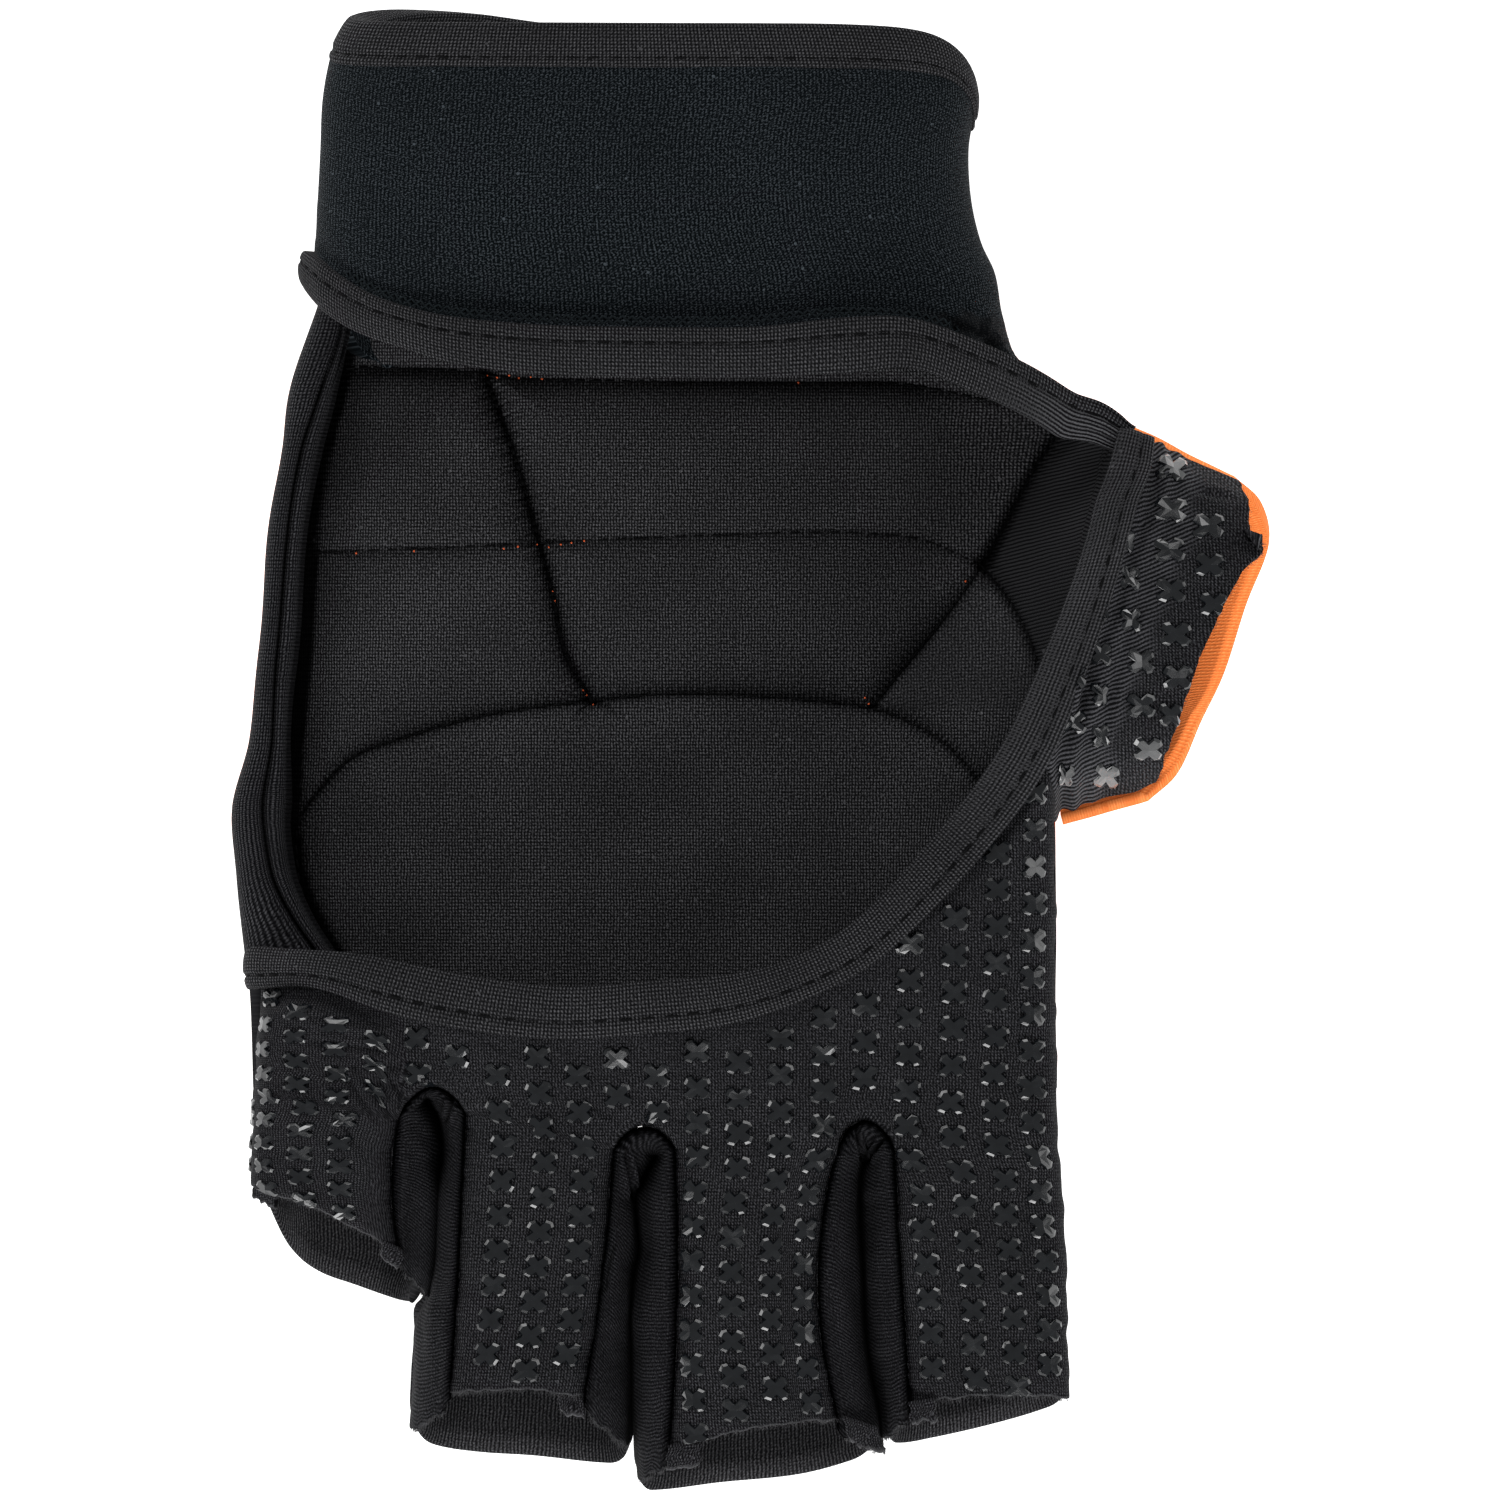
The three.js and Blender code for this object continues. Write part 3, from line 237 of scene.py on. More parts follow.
def sweptPiece(name, sections, closedAlong=False, attributes=None):
    # a closed section carried through a row of places: rows run along, columns round the section;
    # cloth coordinates are the run along it and then the girth
    spans = len(sections) if closedAlong else len(sections) - 1
    rows, count = sections.shape[:2]
    r, c = np.meshgrid(np.arange(spans), np.arange(count), indexing="ij")
    r, c = r.ravel(), c.ravel()
    nextR, nextC = (r + 1) % rows, (c + 1) % count
    faces = np.stack([r * count + c, r * count + nextC, nextR * count + nextC, nextR * count + c], 1)
    middle = sections.mean(1)
    ends = np.concatenate([middle, middle[:1]]) if closedAlong else middle
    run = np.concatenate([[0], np.cumsum(np.linalg.norm(np.diff(ends, axis=0), axis=1))])
    ringSteps = np.linalg.norm(np.roll(sections, -1, 1) - sections, axis=2).mean(0)
    girth = np.concatenate([[0], np.cumsum(ringSteps)])
    uv = np.stack([
        np.stack([run[r], girth[c]], 1), np.stack([run[r], girth[c + 1]], 1),
        np.stack([run[r + 1], girth[c + 1]], 1), np.stack([run[r + 1], girth[c]], 1)], 1)
    points = sections.reshape(-1, 3)
    if closedAlong:
        return meshFrom(name, points, faces, uv, attributes)
    # each end closes on its own middle point
    points = np.concatenate([points, middle[:1], middle[-1:]])
    ring = np.arange(count)
    after = (ring + 1) % count
    last = (rows - 1) * count
    first = np.stack([after, ring, np.full(count, rows * count)], 1)
    final = np.stack([ring + last, after + last, np.full(count, rows * count + 1)], 1)
    return meshFrom(name, points, faces, uv, attributes, np.concatenate([first, final]))


def smallShapes(name, template, faces, places, sideways, forward, upward):
    # copies of one small shape: template columns go along sideways, forward and upward at each place
    spots = (places[:, None] + template[None, :, :1] * sideways[:, None]
             + template[None, :, 1:2] * forward[:, None] + template[None, :, 2:3] * upward[:, None])
    shift = np.arange(len(places))[:, None, None] * len(template)
    allFaces = (faces[None] + shift).reshape(-1, faces.shape[1])
    uv = np.tile(template[faces][..., :2].reshape(-1, 2), (len(places), 1))
    return meshFrom(name, spots.reshape(-1, 3), allFaces, uv)


def readGrid(values, r, c):
    # values between the grid's points, from the four round each place
    ri, ci = r.astype(int), c.astype(int)
    fr, fc = (r - ri)[..., None], (c - ci)[..., None]
    upper = mix(values[ri, ci], values[ri, ci + 1], fc)
    lower = mix(values[ri + 1, ci], values[ri + 1, ci + 1], fc)
    return mix(upper, lower, fr)


def layOn(grid, normal, cloth, target, shape):
    # the shape's points are set out in cloth coordinates round the target, and then found on the
    # surface by stepping to the grid place that has those coordinates
    rows, count = grid.shape[:2]
    nearest = int(np.argmin(((cloth.reshape(-1, 2) - target) ** 2).sum(1)))
    r = np.full(len(shape), min(max(nearest // count, 1), rows - 2), float)
    c = np.full(len(shape), min(max(nearest % count, 1), count - 2), float)
    wanted = target + shape[:, :2]
    rowAt = lambda place: np.clip(place, 0, rows - 1.001)
    columnAt = lambda place: np.clip(place, 0, count - 1.001)
    for _ in range(12):
        perRow = readGrid(cloth, rowAt(r + 0.5), c) - readGrid(cloth, rowAt(r - 0.5), c)
        perColumn = readGrid(cloth, r, columnAt(c + 0.5)) - readGrid(cloth, r, columnAt(c - 0.5))
        miss = wanted - readGrid(cloth, r, c)
        area = perRow[:, 0] * perColumn[:, 1] - perRow[:, 1] * perColumn[:, 0]
        area = np.where(np.abs(area) < 1e-9, 1e-9, area)
        stepR = (miss[:, 0] * perColumn[:, 1] - miss[:, 1] * perColumn[:, 0]) / area
        stepC = (perRow[:, 0] * miss[:, 1] - perRow[:, 1] * miss[:, 0]) / area
        r = rowAt(r + np.clip(stepR, -4, 4))
        c = columnAt(c + np.clip(stepC, -4, 4))
    return readGrid(grid, r, c) + readGrid(normal, r, c) * shape[:, 2:3]


# Shader nodes

def addNode(tree, kind, inputs=None, **settings):
    node = tree.nodes.new("ShaderNode" + kind)
    for key, value in settings.items():
        setattr(node, key, value)
    for key, value in (inputs or {}).items():
        if isinstance(value, bpy.types.NodeSocket):
            tree.links.new(value, node.inputs[key])
        else:
            node.inputs[key].default_value = value
    return node


def calc(tree, operation, *values):
    return addNode(tree, "Math", dict(enumerate(values)), operation=operation).outputs[0]


def newGroup(name, inputs, outputs):
    tree = bpy.data.node_groups.new(name, "ShaderNodeTree")
    for label, (kind, value) in inputs.items():
        socket = tree.interface.new_socket(label, in_out="INPUT", socket_type="NodeSocket" + kind)
        if value is not None:
            socket.default_value = value
    for label in outputs:
        tree.interface.new_socket(label, in_out="OUTPUT", socket_type="NodeSocketFloat")
    return tree, tree.nodes.new("NodeGroupInput").outputs, tree.nodes.new("NodeGroupOutput").inputs


def makeKnitGroup():
    # a machine knit: rows of wales with a stitch rhythm along each, both pitches in mm
    tree, given, result = newGroup("knit", {
        "Vector": ("Vector", None), "Wale pitch": ("Float", 0.5), "Stitch pitch": ("Float", 0.5),
        "Stitch share": ("Float", 0.5), "Wobble": ("Float", 0.1), "Grain": ("Float", 1.4),
        "Weave": ("Float", 0.75), "Zigzag": ("Float", 1.3)}, ["Height", "Shade"])
    parts = addNode(tree, "SeparateXYZ", {0: given["Vector"]}).outputs
    drift = addNode(tree, "TexNoise", {"Vector": given["Vector"], "Scale": 0.35, "Detail": 2.0}).outputs[0]
    yarn = addNode(tree, "TexNoise", {"Vector": given["Vector"], "Scale": 3.6, "Detail": 3.0}).outputs[0]
    swayed = calc(tree, "MULTIPLY_ADD", calc(tree, "SUBTRACT", drift, 0.5), given["Wobble"], parts[0])
    waleTurn = calc(tree, "MULTIPLY", calc(tree, "DIVIDE", swayed, given["Wale pitch"]), 2 * math.pi)
    wale = calc(tree, "MULTIPLY_ADD", calc(tree, "COSINE", waleTurn), 0.5, 0.5)
    stitchTurn = calc(tree, "MULTIPLY", calc(tree, "DIVIDE", parts[1], given["Stitch pitch"]), 2 * math.pi)
    shifted = calc(tree, "MULTIPLY_ADD", calc(tree, "SINE", waleTurn), given["Zigzag"], stitchTurn)
    stitch = calc(tree, "MULTIPLY_ADD", calc(tree, "COSINE", shifted), 0.5, 0.5)
    between = calc(tree, "SUBTRACT", 1.0, given["Stitch share"])
    woven = calc(tree, "MULTIPLY", wale, calc(tree, "MULTIPLY_ADD", stitch, given["Stitch share"], between))
    height = calc(tree, "MULTIPLY_ADD", calc(tree, "SUBTRACT", yarn, 0.5), 0.5, woven)
    tree.links.new(height, result["Height"])
    # woven is 0.33 on average, so the tone stays near 0.37 however strong the weave is
    ground = calc(tree, "MULTIPLY_ADD", calc(tree, "SUBTRACT", woven, 0.33), given["Weave"], 0.37)
    shade = calc(tree, "MULTIPLY_ADD", calc(tree, "SUBTRACT", yarn, 0.5), given["Grain"], ground)
    clamped = addNode(tree, "Clamp", {0: shade}).outputs[0]
    tree.links.new(calc(tree, "POWER", clamped, 1.8), result["Shade"])
    return tree


def makeLintGroup():
    # scattered specks of fluff in some cells of a pattern, and a slow change of tone over 14 mm
    tree, given, result = newGroup("lint", {"Vector": ("Vector", None)}, ["Specks", "Tone"])
    cells = addNode(tree, "TexVoronoi", {"Vector": given["Vector"], "Scale": 0.55, "Randomness": 1.0})
    dot = calc(tree, "LESS_THAN", cells.outputs["Distance"], 0.12)
    pick = addNode(tree, "SeparateColor", {0: cells.outputs["Color"]}).outputs[0]
    tree.links.new(calc(tree, "MULTIPLY", dot, calc(tree, "GREATER_THAN", pick, 0.82)), result["Specks"])
    tone = addNode(tree, "TexNoise", {"Vector": given["Vector"], "Scale": 1 / 14, "Detail": 4.0}).outputs[0]
    tree.links.new(tone, result["Tone"])
    return tree


def makeSeamGroup():
    # along a seam the cloth is gathered in short ribs, a bump; Line is painted shade, dark in the seam's
    # groove and between the ribs. Near is 1 on the seam and falls off, run is the place along it in mm
    tree, given, result = newGroup("seam", {
        "Near": ("Float", 0.0), "Run": ("Float", 0.0), "Pitch": ("Float", 0.62)}, ["Height", "Line"])
    drift = addNode(tree, "TexNoise", {"W": given["Run"], "Scale": 0.45, "Detail": 2.0},
                    noise_dimensions="1D").outputs[0]
    turn = calc(tree, "MULTIPLY_ADD", calc(tree, "DIVIDE", given["Run"], given["Pitch"]), 2 * math.pi,
                calc(tree, "MULTIPLY", drift, 5.0))
    beat = calc(tree, "MULTIPLY_ADD", calc(tree, "SINE", turn), 0.5, 0.5)
    tree.links.new(calc(tree, "MULTIPLY", beat, given["Near"]), result["Height"])
    # painted shade: a dark core in the seam's groove, and dark between the gathered ribs
    crease = calc(tree, "MULTIPLY", calc(tree, "POWER", given["Near"], 3.0), 0.98)
    close = calc(tree, "POWER", given["Near"], 1.1)
    teeth = calc(tree, "MULTIPLY", close, calc(tree, "SUBTRACT", 1.0, beat))
    tree.links.new(calc(tree, "MAXIMUM", crease, teeth), result["Line"])
    return tree


knitGroup, lintGroup, seamGroup = makeKnitGroup(), makeLintGroup(), makeSeamGroup()
# what the numbers of a knit are, both pitches in mm
knitLabels = ("Wale pitch", "Stitch pitch", "Stitch share", "Wobble", "Grain", "Weave", "Zigzag")
# colour of the painted shade in seams, folds and creases
paintedSeamShade = (0.0005, 0.0005, 0.0006)


def clothMaterial(name, dark, light, knit, depth=0.06, lint=0.0, pucker=0.62, gather=1.2,
                  ribs=None, coverAndShade=None):
    # a knitted cloth: colour, roughness, sheen and relief all come from the same yarns.
    # Marks on the mesh: seam and run (gathers, with painted shade along the seam), patch (slanting ribs), and
    # a mark for another colour, which on some pieces is painted shade
    material = bpy.data.materials.new(name)
    material.use_nodes = True
    tree = material.node_tree
    shader = tree.nodes["Principled BSDF"]
    mark = lambda key: addNode(tree, "Attribute", attribute_name=key).outputs["Fac"]
    uv = addNode(tree, "UVMap", uv_map="cloth").outputs[0]
    yarns = addNode(tree, "Group", {"Vector": uv}, node_tree=knitGroup)
    for label, value in zip(knitLabels, knit):
        yarns.inputs[label].default_value = value
    height, shade = yarns.outputs["Height"], yarns.outputs["Shade"]
    if ribs:
        rotation = (0, 0, math.radians(ribs["turn"]))
        turned = addNode(tree, "Mapping", {"Vector": uv, "Rotation": rotation}).outputs[0]
        rows = addNode(tree, "Group", {
            "Vector": turned, "Wale pitch": ribs["pitch"], "Stitch pitch": 0.5, "Stitch share": 0.2,
            "Wobble": 0.3, "Weave": ribs["weave"]}, node_tree=knitGroup)
        patch = mark("patch")
        ribShade = calc(tree, "MULTIPLY", rows.outputs["Shade"], ribs["bright"])
        height = addNode(tree, "Mix", {"Factor": patch, "A": height, "B": rows.outputs["Height"]}).outputs[0]
        shade = addNode(tree, "Mix", {"Factor": patch, "A": shade, "B": ribShade}).outputs[0]
    fluff = addNode(tree, "Group", {"Vector": uv}, node_tree=lintGroup)
    toned = calc(tree, "MULTIPLY", calc(tree, "MULTIPLY_ADD", fluff.outputs["Tone"], 1.1, 0.45), shade)
    pale = tuple(min(1.0, c * 3 + 0.03) for c in light)
    seam = addNode(tree, "Group", {"Near": mark("seam"), "Run": mark("run"), "Pitch": pucker},
                   node_tree=seamGroup)
    # over the yarns' colour: the other colour (painted shade on the liner and gussets), lint, and the seam's
    # painted shade
    layers = [(toned, light), (mark("coverAndShade"), coverAndShade or light),
              (calc(tree, "MULTIPLY", fluff.outputs["Specks"], lint), pale),
              (seam.outputs["Line"], paintedSeamShade)]
    colour = (*dark, 1)
    for share, shown in layers:
        colour = addNode(tree, "Mix", {"Factor": share, "A": colour, "B": (*shown, 1)},
                         data_type="RGBA", clamp_factor=True).outputs["Result"]
    tree.links.new(colour, shader.inputs["Base Color"])
    tree.links.new(calc(tree, "MULTIPLY_ADD", shade, -0.15, 0.95), shader.inputs["Roughness"])
    relief = calc(tree, "MULTIPLY_ADD", seam.outputs["Height"], gather, height)
    bump = addNode(tree, "Bump", {"Height": relief, "Strength": 1.0, "Distance": depth * mm})
    tree.links.new(bump.outputs[0], shader.inputs["Normal"])
    # little light comes back from between the yarns and out of a seam
    lit = calc(tree, "MULTIPLY", calc(tree, "MULTIPLY_ADD", shade, 0.2, 0.055),
               calc(tree, "SUBTRACT", 1.0, seam.outputs["Line"]))
    tree.links.new(lit, shader.inputs["Specular IOR Level"])
    return material


def plainMaterial(name, dark, light, roughness=(0.7, 0.9), specular=0.1, grain=3000, depth=0.02):
    # rubber or thread: fine grain on Object coordinates in colour, roughness and relief
    material = bpy.data.materials.new(name)
    material.use_nodes = True
    tree = material.node_tree
    shader = tree.nodes["Principled BSDF"]
    place = addNode(tree, "TexCoord").outputs["Object"]
    noise = addNode(tree, "TexNoise", {"Vector": place, "Scale": grain, "Detail": 4.0}).outputs[0]
    colour = addNode(tree, "Mix", {"Factor": noise, "A": (*dark, 1), "B": (*light, 1)}, data_type="RGBA")
    tree.links.new(colour.outputs["Result"], shader.inputs["Base Color"])
    rough = calc(tree, "MULTIPLY_ADD", noise, roughness[1] - roughness[0], roughness[0])
    tree.links.new(rough, shader.inputs["Roughness"])
    bump = addNode(tree, "Bump", {"Height": noise, "Strength": 1.0, "Distance": depth * mm})
    tree.links.new(bump.outputs[0], shader.inputs["Normal"])
    shader.inputs["Specular IOR Level"].default_value = specular
    return material


# colours are linear; ribs: pitch in mm, turn in degrees, brightness and strength of the weave
neoprene = clothMaterial(
    "neopreneJersey", (0.0002, 0.0010, 0.0016), (0.0215, 0.0275, 0.0330),
    (0.55, 0.35, 0.85, 0.7, 4.2, 0.9), lint=0.35, coverAndShade=(0.0030, 0.0036, 0.0044))
tapeCloth = clothMaterial(
    "bindingTape", (0.0020, 0.0020, 0.0024), (0.0690, 0.0690, 0.0740),
    (0.49, 0.47, 0.8, 0.15, 1.5, 0.82, 0.6), depth=0.07, lint=0.1,
    ribs={"pitch": 0.55, "turn": 90, "bright": 0.85, "weave": 1.15})
sideCloth = clothMaterial(
    "sideRib", (0.0012, 0.0012, 0.0016), (0.0440, 0.0440, 0.0490),
    (0.52, 0.48, 0.7, 0.3, 1.8, 0.85, 0.4), depth=0.08)
# the liner's second, near-black colour is painted shade beside the side band
linerCloth = clothMaterial(
    "linerKnit", (0.0030, 0.0030, 0.0034), (0.0900, 0.0900, 0.0960),
    (0.41, 0.45, 0.75, 0.5, 2.2, 0.9, 0.4), lint=0.12, pucker=0.80, gather=2.2,
    coverAndShade=(0.0006, 0.0006, 0.0007), ribs={"pitch": 0.48, "turn": 74, "bright": 0.18, "weave": 6.0})
palmCloth = clothMaterial(
    "palmFabric", (0.0016, 0.0016, 0.0020), (0.0475, 0.0475, 0.0530),
    (0.41, 0.44, 0.8, 0.4, 1.8, 0.7), lint=0.1, coverAndShade=(0.055, 0.055, 0.058),
    ribs={"pitch": 0.52, "turn": 65, "bright": 1.0, "weave": 1.3})
# the gussets' black second colour is painted shade in their slits and folds
gussetCloth = clothMaterial(
    "gussetKnit", (0.0016, 0.0016, 0.0020), (0.0280, 0.0280, 0.0320),
    (0.50, 0.45, 0.5, 0.8, 1.8, 0.6), depth=0.045, gather=4.0, coverAndShade=(0.0005, 0.0005, 0.0006))
# the finger backs are of the gusset's knit; this copy of it is painted lighter, painted light on them
litGussetCloth = clothMaterial(
    "gussetKnitPaintedLight", (0.0024, 0.0024, 0.0028), (0.0520, 0.0520, 0.0560), (0.50, 0.45, 0.4, 0.6, 1.8, 0.75))
orangeCloth = clothMaterial(
    "orangeFabric", (0.78, 0.17, 0.035), (1.0, 0.32, 0.09), (0.5, 0.6, 0.5, 0.4),
    coverAndShade=(0.010, 0.010, 0.0115))
blackThread = plainMaterial("blackThread", (0.0004, 0.0004, 0.0006), (0.002, 0.002, 0.0024), specular=0.08)
orangeThread = plainMaterial("orangeThread", (0.45, 0.07, 0.02), (0.75, 0.14, 0.05), (0.6, 0.8))
tealThread = plainMaterial("tealThread", (0.001, 0.002, 0.0026), (0.012, 0.017, 0.020), grain=2500)
frayThread = plainMaterial("frayThread", (0.012, 0.012, 0.013), (0.090, 0.090, 0.094), depth=0.01)
silicone = plainMaterial("siliconePrint", (0.0010, 0.0014, 0.0020), (0.0045, 0.0058, 0.0075), (0.16, 0.30),
                         specular=0.55, grain=900)
print("materials made")


def finishPiece(piece, material, slotName, *nodes):
    piece.data.materials.append(material)
    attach(piece, "root")
    if nodes:
        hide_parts(*nodes)
    return piece


def stitchRow(name, line, normals, dash, pitch, wide, high, material, slotName, lift=0.0, seed=3, zigzag=0.0):
    # dashes of thread along a line: round-ended rods laid on the cloth, each a few dozen faces
    run = np.concatenate([[0], np.cumsum(np.linalg.norm(np.diff(line, axis=0), axis=1))])
    centres = np.arange(pitch / 2, run[-1], pitch)
    rng = np.random.default_rng(seed)
    centres = centres + rng.uniform(-0.06, 0.06, len(centres)) * pitch
    at = lambda values, s: np.stack([np.interp(s, run, values[:, k]) for k in range(3)], 1)
    forward = at(line, centres + 0.2) - at(line, centres - 0.2)
    forward /= np.linalg.norm(forward, axis=1, keepdims=True)
    up = at(normals, centres)
    side = np.cross(forward, up)
    side /= np.linalg.norm(side, axis=1, keepdims=True)
    up = np.cross(side, forward)
    turn = (rng.normal(0, 0.06, len(centres)) + zigzag * (-1) ** np.arange(len(centres)))[:, None]
    forward, side = forward + side * turn, side - forward * turn
    stations = np.array([-1, -0.82, 0, 0.82, 1]) * dash / 2
    fat = np.array([0.25, 0.85, 1, 0.85, 0.25])
    around = np.arange(6) * math.pi / 3
    across = np.cos(around)[None] * fat[:, None] * wide / 2
    above = np.sin(around)[None] * fat[:, None] * high / 2 + high * (fat[:, None] - 1) * 0.6
    template = np.stack([across, np.repeat(stations[:, None], 6, 1), above], -1).reshape(-1, 3)
    faces, _ = cellFaces(5, 6, True)
    ends = np.array([[0, 1, 2, 3], [0, 3, 4, 5], [27, 26, 25, 24], [29, 28, 27, 24]])
    faces = np.concatenate([faces[:, ::-1], ends[:, ::-1]])
    piece = smallShapes(name, template, faces, at(line, centres) + up * lift, side, forward, up)
    return finishPiece(piece, material, slotName)


def strands(name, roots, outward, normals, length, thick, material, slotName, seed):
    # loose fibres at a cut edge: thin three-sided rods of varied length and direction
    rng = np.random.default_rng(seed)
    count = len(roots)
    side = np.cross(outward, normals)
    forward = outward + side * rng.normal(0, 0.7, (count, 1)) + normals * rng.normal(0.1, 0.35, (count, 1))
    forward *= rng.uniform(0.35, 1, (count, 1)) * length / np.linalg.norm(forward, axis=1, keepdims=True)
    side /= np.linalg.norm(side, axis=1, keepdims=True)
    around = np.arange(3) * 2 * math.pi / 3
    template = np.concatenate([
        np.stack([np.cos(around) * thick * fat, np.full(3, at), np.sin(around) * thick * fat], 1)
        for at, fat in ((-0.2, 0.5), (0.5, 0.45), (1.0, 0.2))])
    faces, _ = cellFaces(3, 3, True)
    piece = smallShapes(name, template, faces[:, ::-1], roots, side, forward, normals)
    return finishPiece(piece, material, slotName)


def edgeFibres(name, edge, inside, up, wall, count, length, slotName, seed):
    # fibres standing out of the cut end of a cloth wall
    rng = np.random.default_rng(seed)
    at = rng.uniform(0, len(edge) - 1.001, count)
    low, part = at.astype(int), (at % 1)[:, None]
    outward = edge[low] - inside[low]
    outward /= np.linalg.norm(outward, axis=1, keepdims=True)
    roots = mix(edge[low], edge[low + 1], part) - up[low] * rng.uniform(0, wall, (count, 1))
    strands(name, roots, outward, up[low], length, 0.07, frayThread, slotName, seed + 1)


def threadDots(name, places, normals, size, material, slotName):
    # knots of thread that show at a seam: small eight-sided beads
    corners = [(1, 0, 0), (0, 1, 0), (-1, 0, 0), (0, -1, 0), (0, 0, 0.8), (0, 0, -0.8)]
    template = np.array(corners) * size / 2
    faces = np.array([[0, 1, 4], [1, 2, 4], [2, 3, 4], [3, 0, 4],
                      [1, 0, 5], [2, 1, 5], [3, 2, 5], [0, 3, 5]])
    ahead = np.tile([[0.0, 1.0, 0.0]], (len(places), 1))
    side = np.cross(ahead, normals)
    piece = smallShapes(name, template, faces, places, side, ahead, normals)
    return finishPiece(piece, material, slotName)


# Wrist band

# both tapes: the groove along the stitches gets painted shade, and one of these numbers is how dark it is
tape = {"thick": 2.4, "stitchAt": 0.68, "groove": 0.16, "flat": 0.28, "grooveShade": 0.72, "stepsPerRow": 14,
        "sectionPoints": 64, "pleats": 5}
cuff = {"low": 1.8, "high": 31.6, "roundness": 2.7, "wall": 3.0, "hem": 6.0, "proud": 0.4,
        "columns": 280, "rows": 76, "wave": 0.21, "waveSize": 22.0, "stitchAt": 0.78, "groove": 0.10,
        "underHem": 1.2, "underTape": 1.6, "pull": 0.5, "gather": 0.16, "pleat": 0.14,
        "overlock": {"out": 0.35, "apart": 0.55, "dash": 0.75, "pitch": 0.62, "turn": 0.9}}
cuffSides = table("y left right", [
    (43, -58.5, 48.5), (46, -58.5, 44), (51.3, -58.5, 36.4), (57.7, -58.6, 33.7), (63.5, -58.3, 32.5),
    (67.7, -58.1, 30.6), (73.5, -57.8, 29.3), (80.1, -57.4, 29.1), (86.8, -57.0, 30.2),
    (92.8, -55.9, 29.3), (96.1, -54.7, 27.7), (99.5, -51.5, 23.3)])
cuffTop = table("angle y", [
    (0, 88.5), (15, 92.8), (30, 95.4), (50, 96.4), (90, 96.6), (140, 96.9), (165, 97.4), (180, 98.2),
    (200, 99.0), (220, 99.3), (240, 98.8), (255, 97.6), (270, 96.2), (300, 94.6), (330, 91.0), (360, 88.5)])
cuffFoot = table("angle y", [
    (180, 67.4), (190, 66.8), (200, 58.6), (215, 52), (240, 51.4), (320, 51.4), (340, 49.4), (360, 45.6)])
openingTape = table("inX inY outX outY z", [
    (-58.8, 62.3, -58.6, 66.0, 14), (-59.0, 62.0, -58.7, 66.6, 17), (-57.1, 59.2, -57.1, 65.3, 21.5),
    (-54.1, 56.7, -54.1, 62.9, 25), (-46.7, 53.6, -46.7, 59.2, 29), (-36.1, 50.7, -36.1, 57.1, 31.5),
    (-20.1, 49.7, -20.1, 56.3, 32.5), (-0.1, 49.6, -0.1, 56.3, 33), (13.3, 50.1, 13.3, 57.5, 32.5),
    (22.6, 50.4, 23.3, 56.8, 31.5), (29.9, 47.6, 31.3, 54.0, 29.5), (38.6, 43.2, 39.9, 49.5, 26.5),
    (44.9, 40.6, 48.2, 45.2, 24.5), (47.3, 38.6, 53.2, 41.2, 25), (46.3, 34.1, 52.2, 34.5, 26.5),
    (44.6, 28.1, 50.6, 29.1, 28), (40.2, 15.5, 46.3, 14.5, 30), (33.3, 0.8, 39.3, -2.3, 32),
    (25.3, -10.3, 30.3, -14.5, 33), (14.6, -22.1, 17.9, -27.2, 33.5), (3.9, -28.1, 5.9, -33.6, 33.5),
    (-8.1, -30.3, -7.0, -37.1, 33), (-20.1, -31.2, -20.1, -38.1, 32.5), (-33.4, -30.7, -34.7, -37.7, 31),
    (-46.7, -28.1, -48.7, -34.8, 28), (-57.4, -26.7, -58.5, -31.7, 24), (-65.1, -26.3, -65.1, -31.9, 18.5),
    (-66.7, -26.3, -66.6, -31.9, 13)])
wristRows = {name: values[1:12] for name, values in openingTape.items()}
underRows = {name: values[17:] for name, values in openingTape.items()}


def signedPower(value, power):
    return np.sign(value) * np.abs(value) ** power


def cuffPoint(angle, y):
    # a flattened loop: a round raised to a power, as wide as the glove is at that height
    left, right = along(cuffSides, "y", "left", y), along(cuffSides, "y", "right", y)
    turn = np.radians(angle)
    power = 2 / cuff["roundness"]
    wide, high = signedPower(np.cos(turn), power), signedPower(np.sin(turn), power)
    x = (left + right) / 2 + (right - left) / 2 * wide
    z = (cuff["high"] + cuff["low"]) / 2 + (cuff["high"] - cuff["low"]) / 2 * high
    return np.stack([x, y + 0 * x, z], -1)


def cuffBottomY(angle):
    # under the palm side's tape, and along its own foot on the back; y and the width at y depend on
    # each other, so a first guess is bettered six times
    y = np.full(angle.shape, 56.3)
    for _ in range(6):
        y = along(wristRows, "outX", "outY", cuffPoint(angle, y)[..., 0]) - cuff["underTape"]
    return np.where(angle > 180, along(cuffFoot, "angle", "y", angle), y)


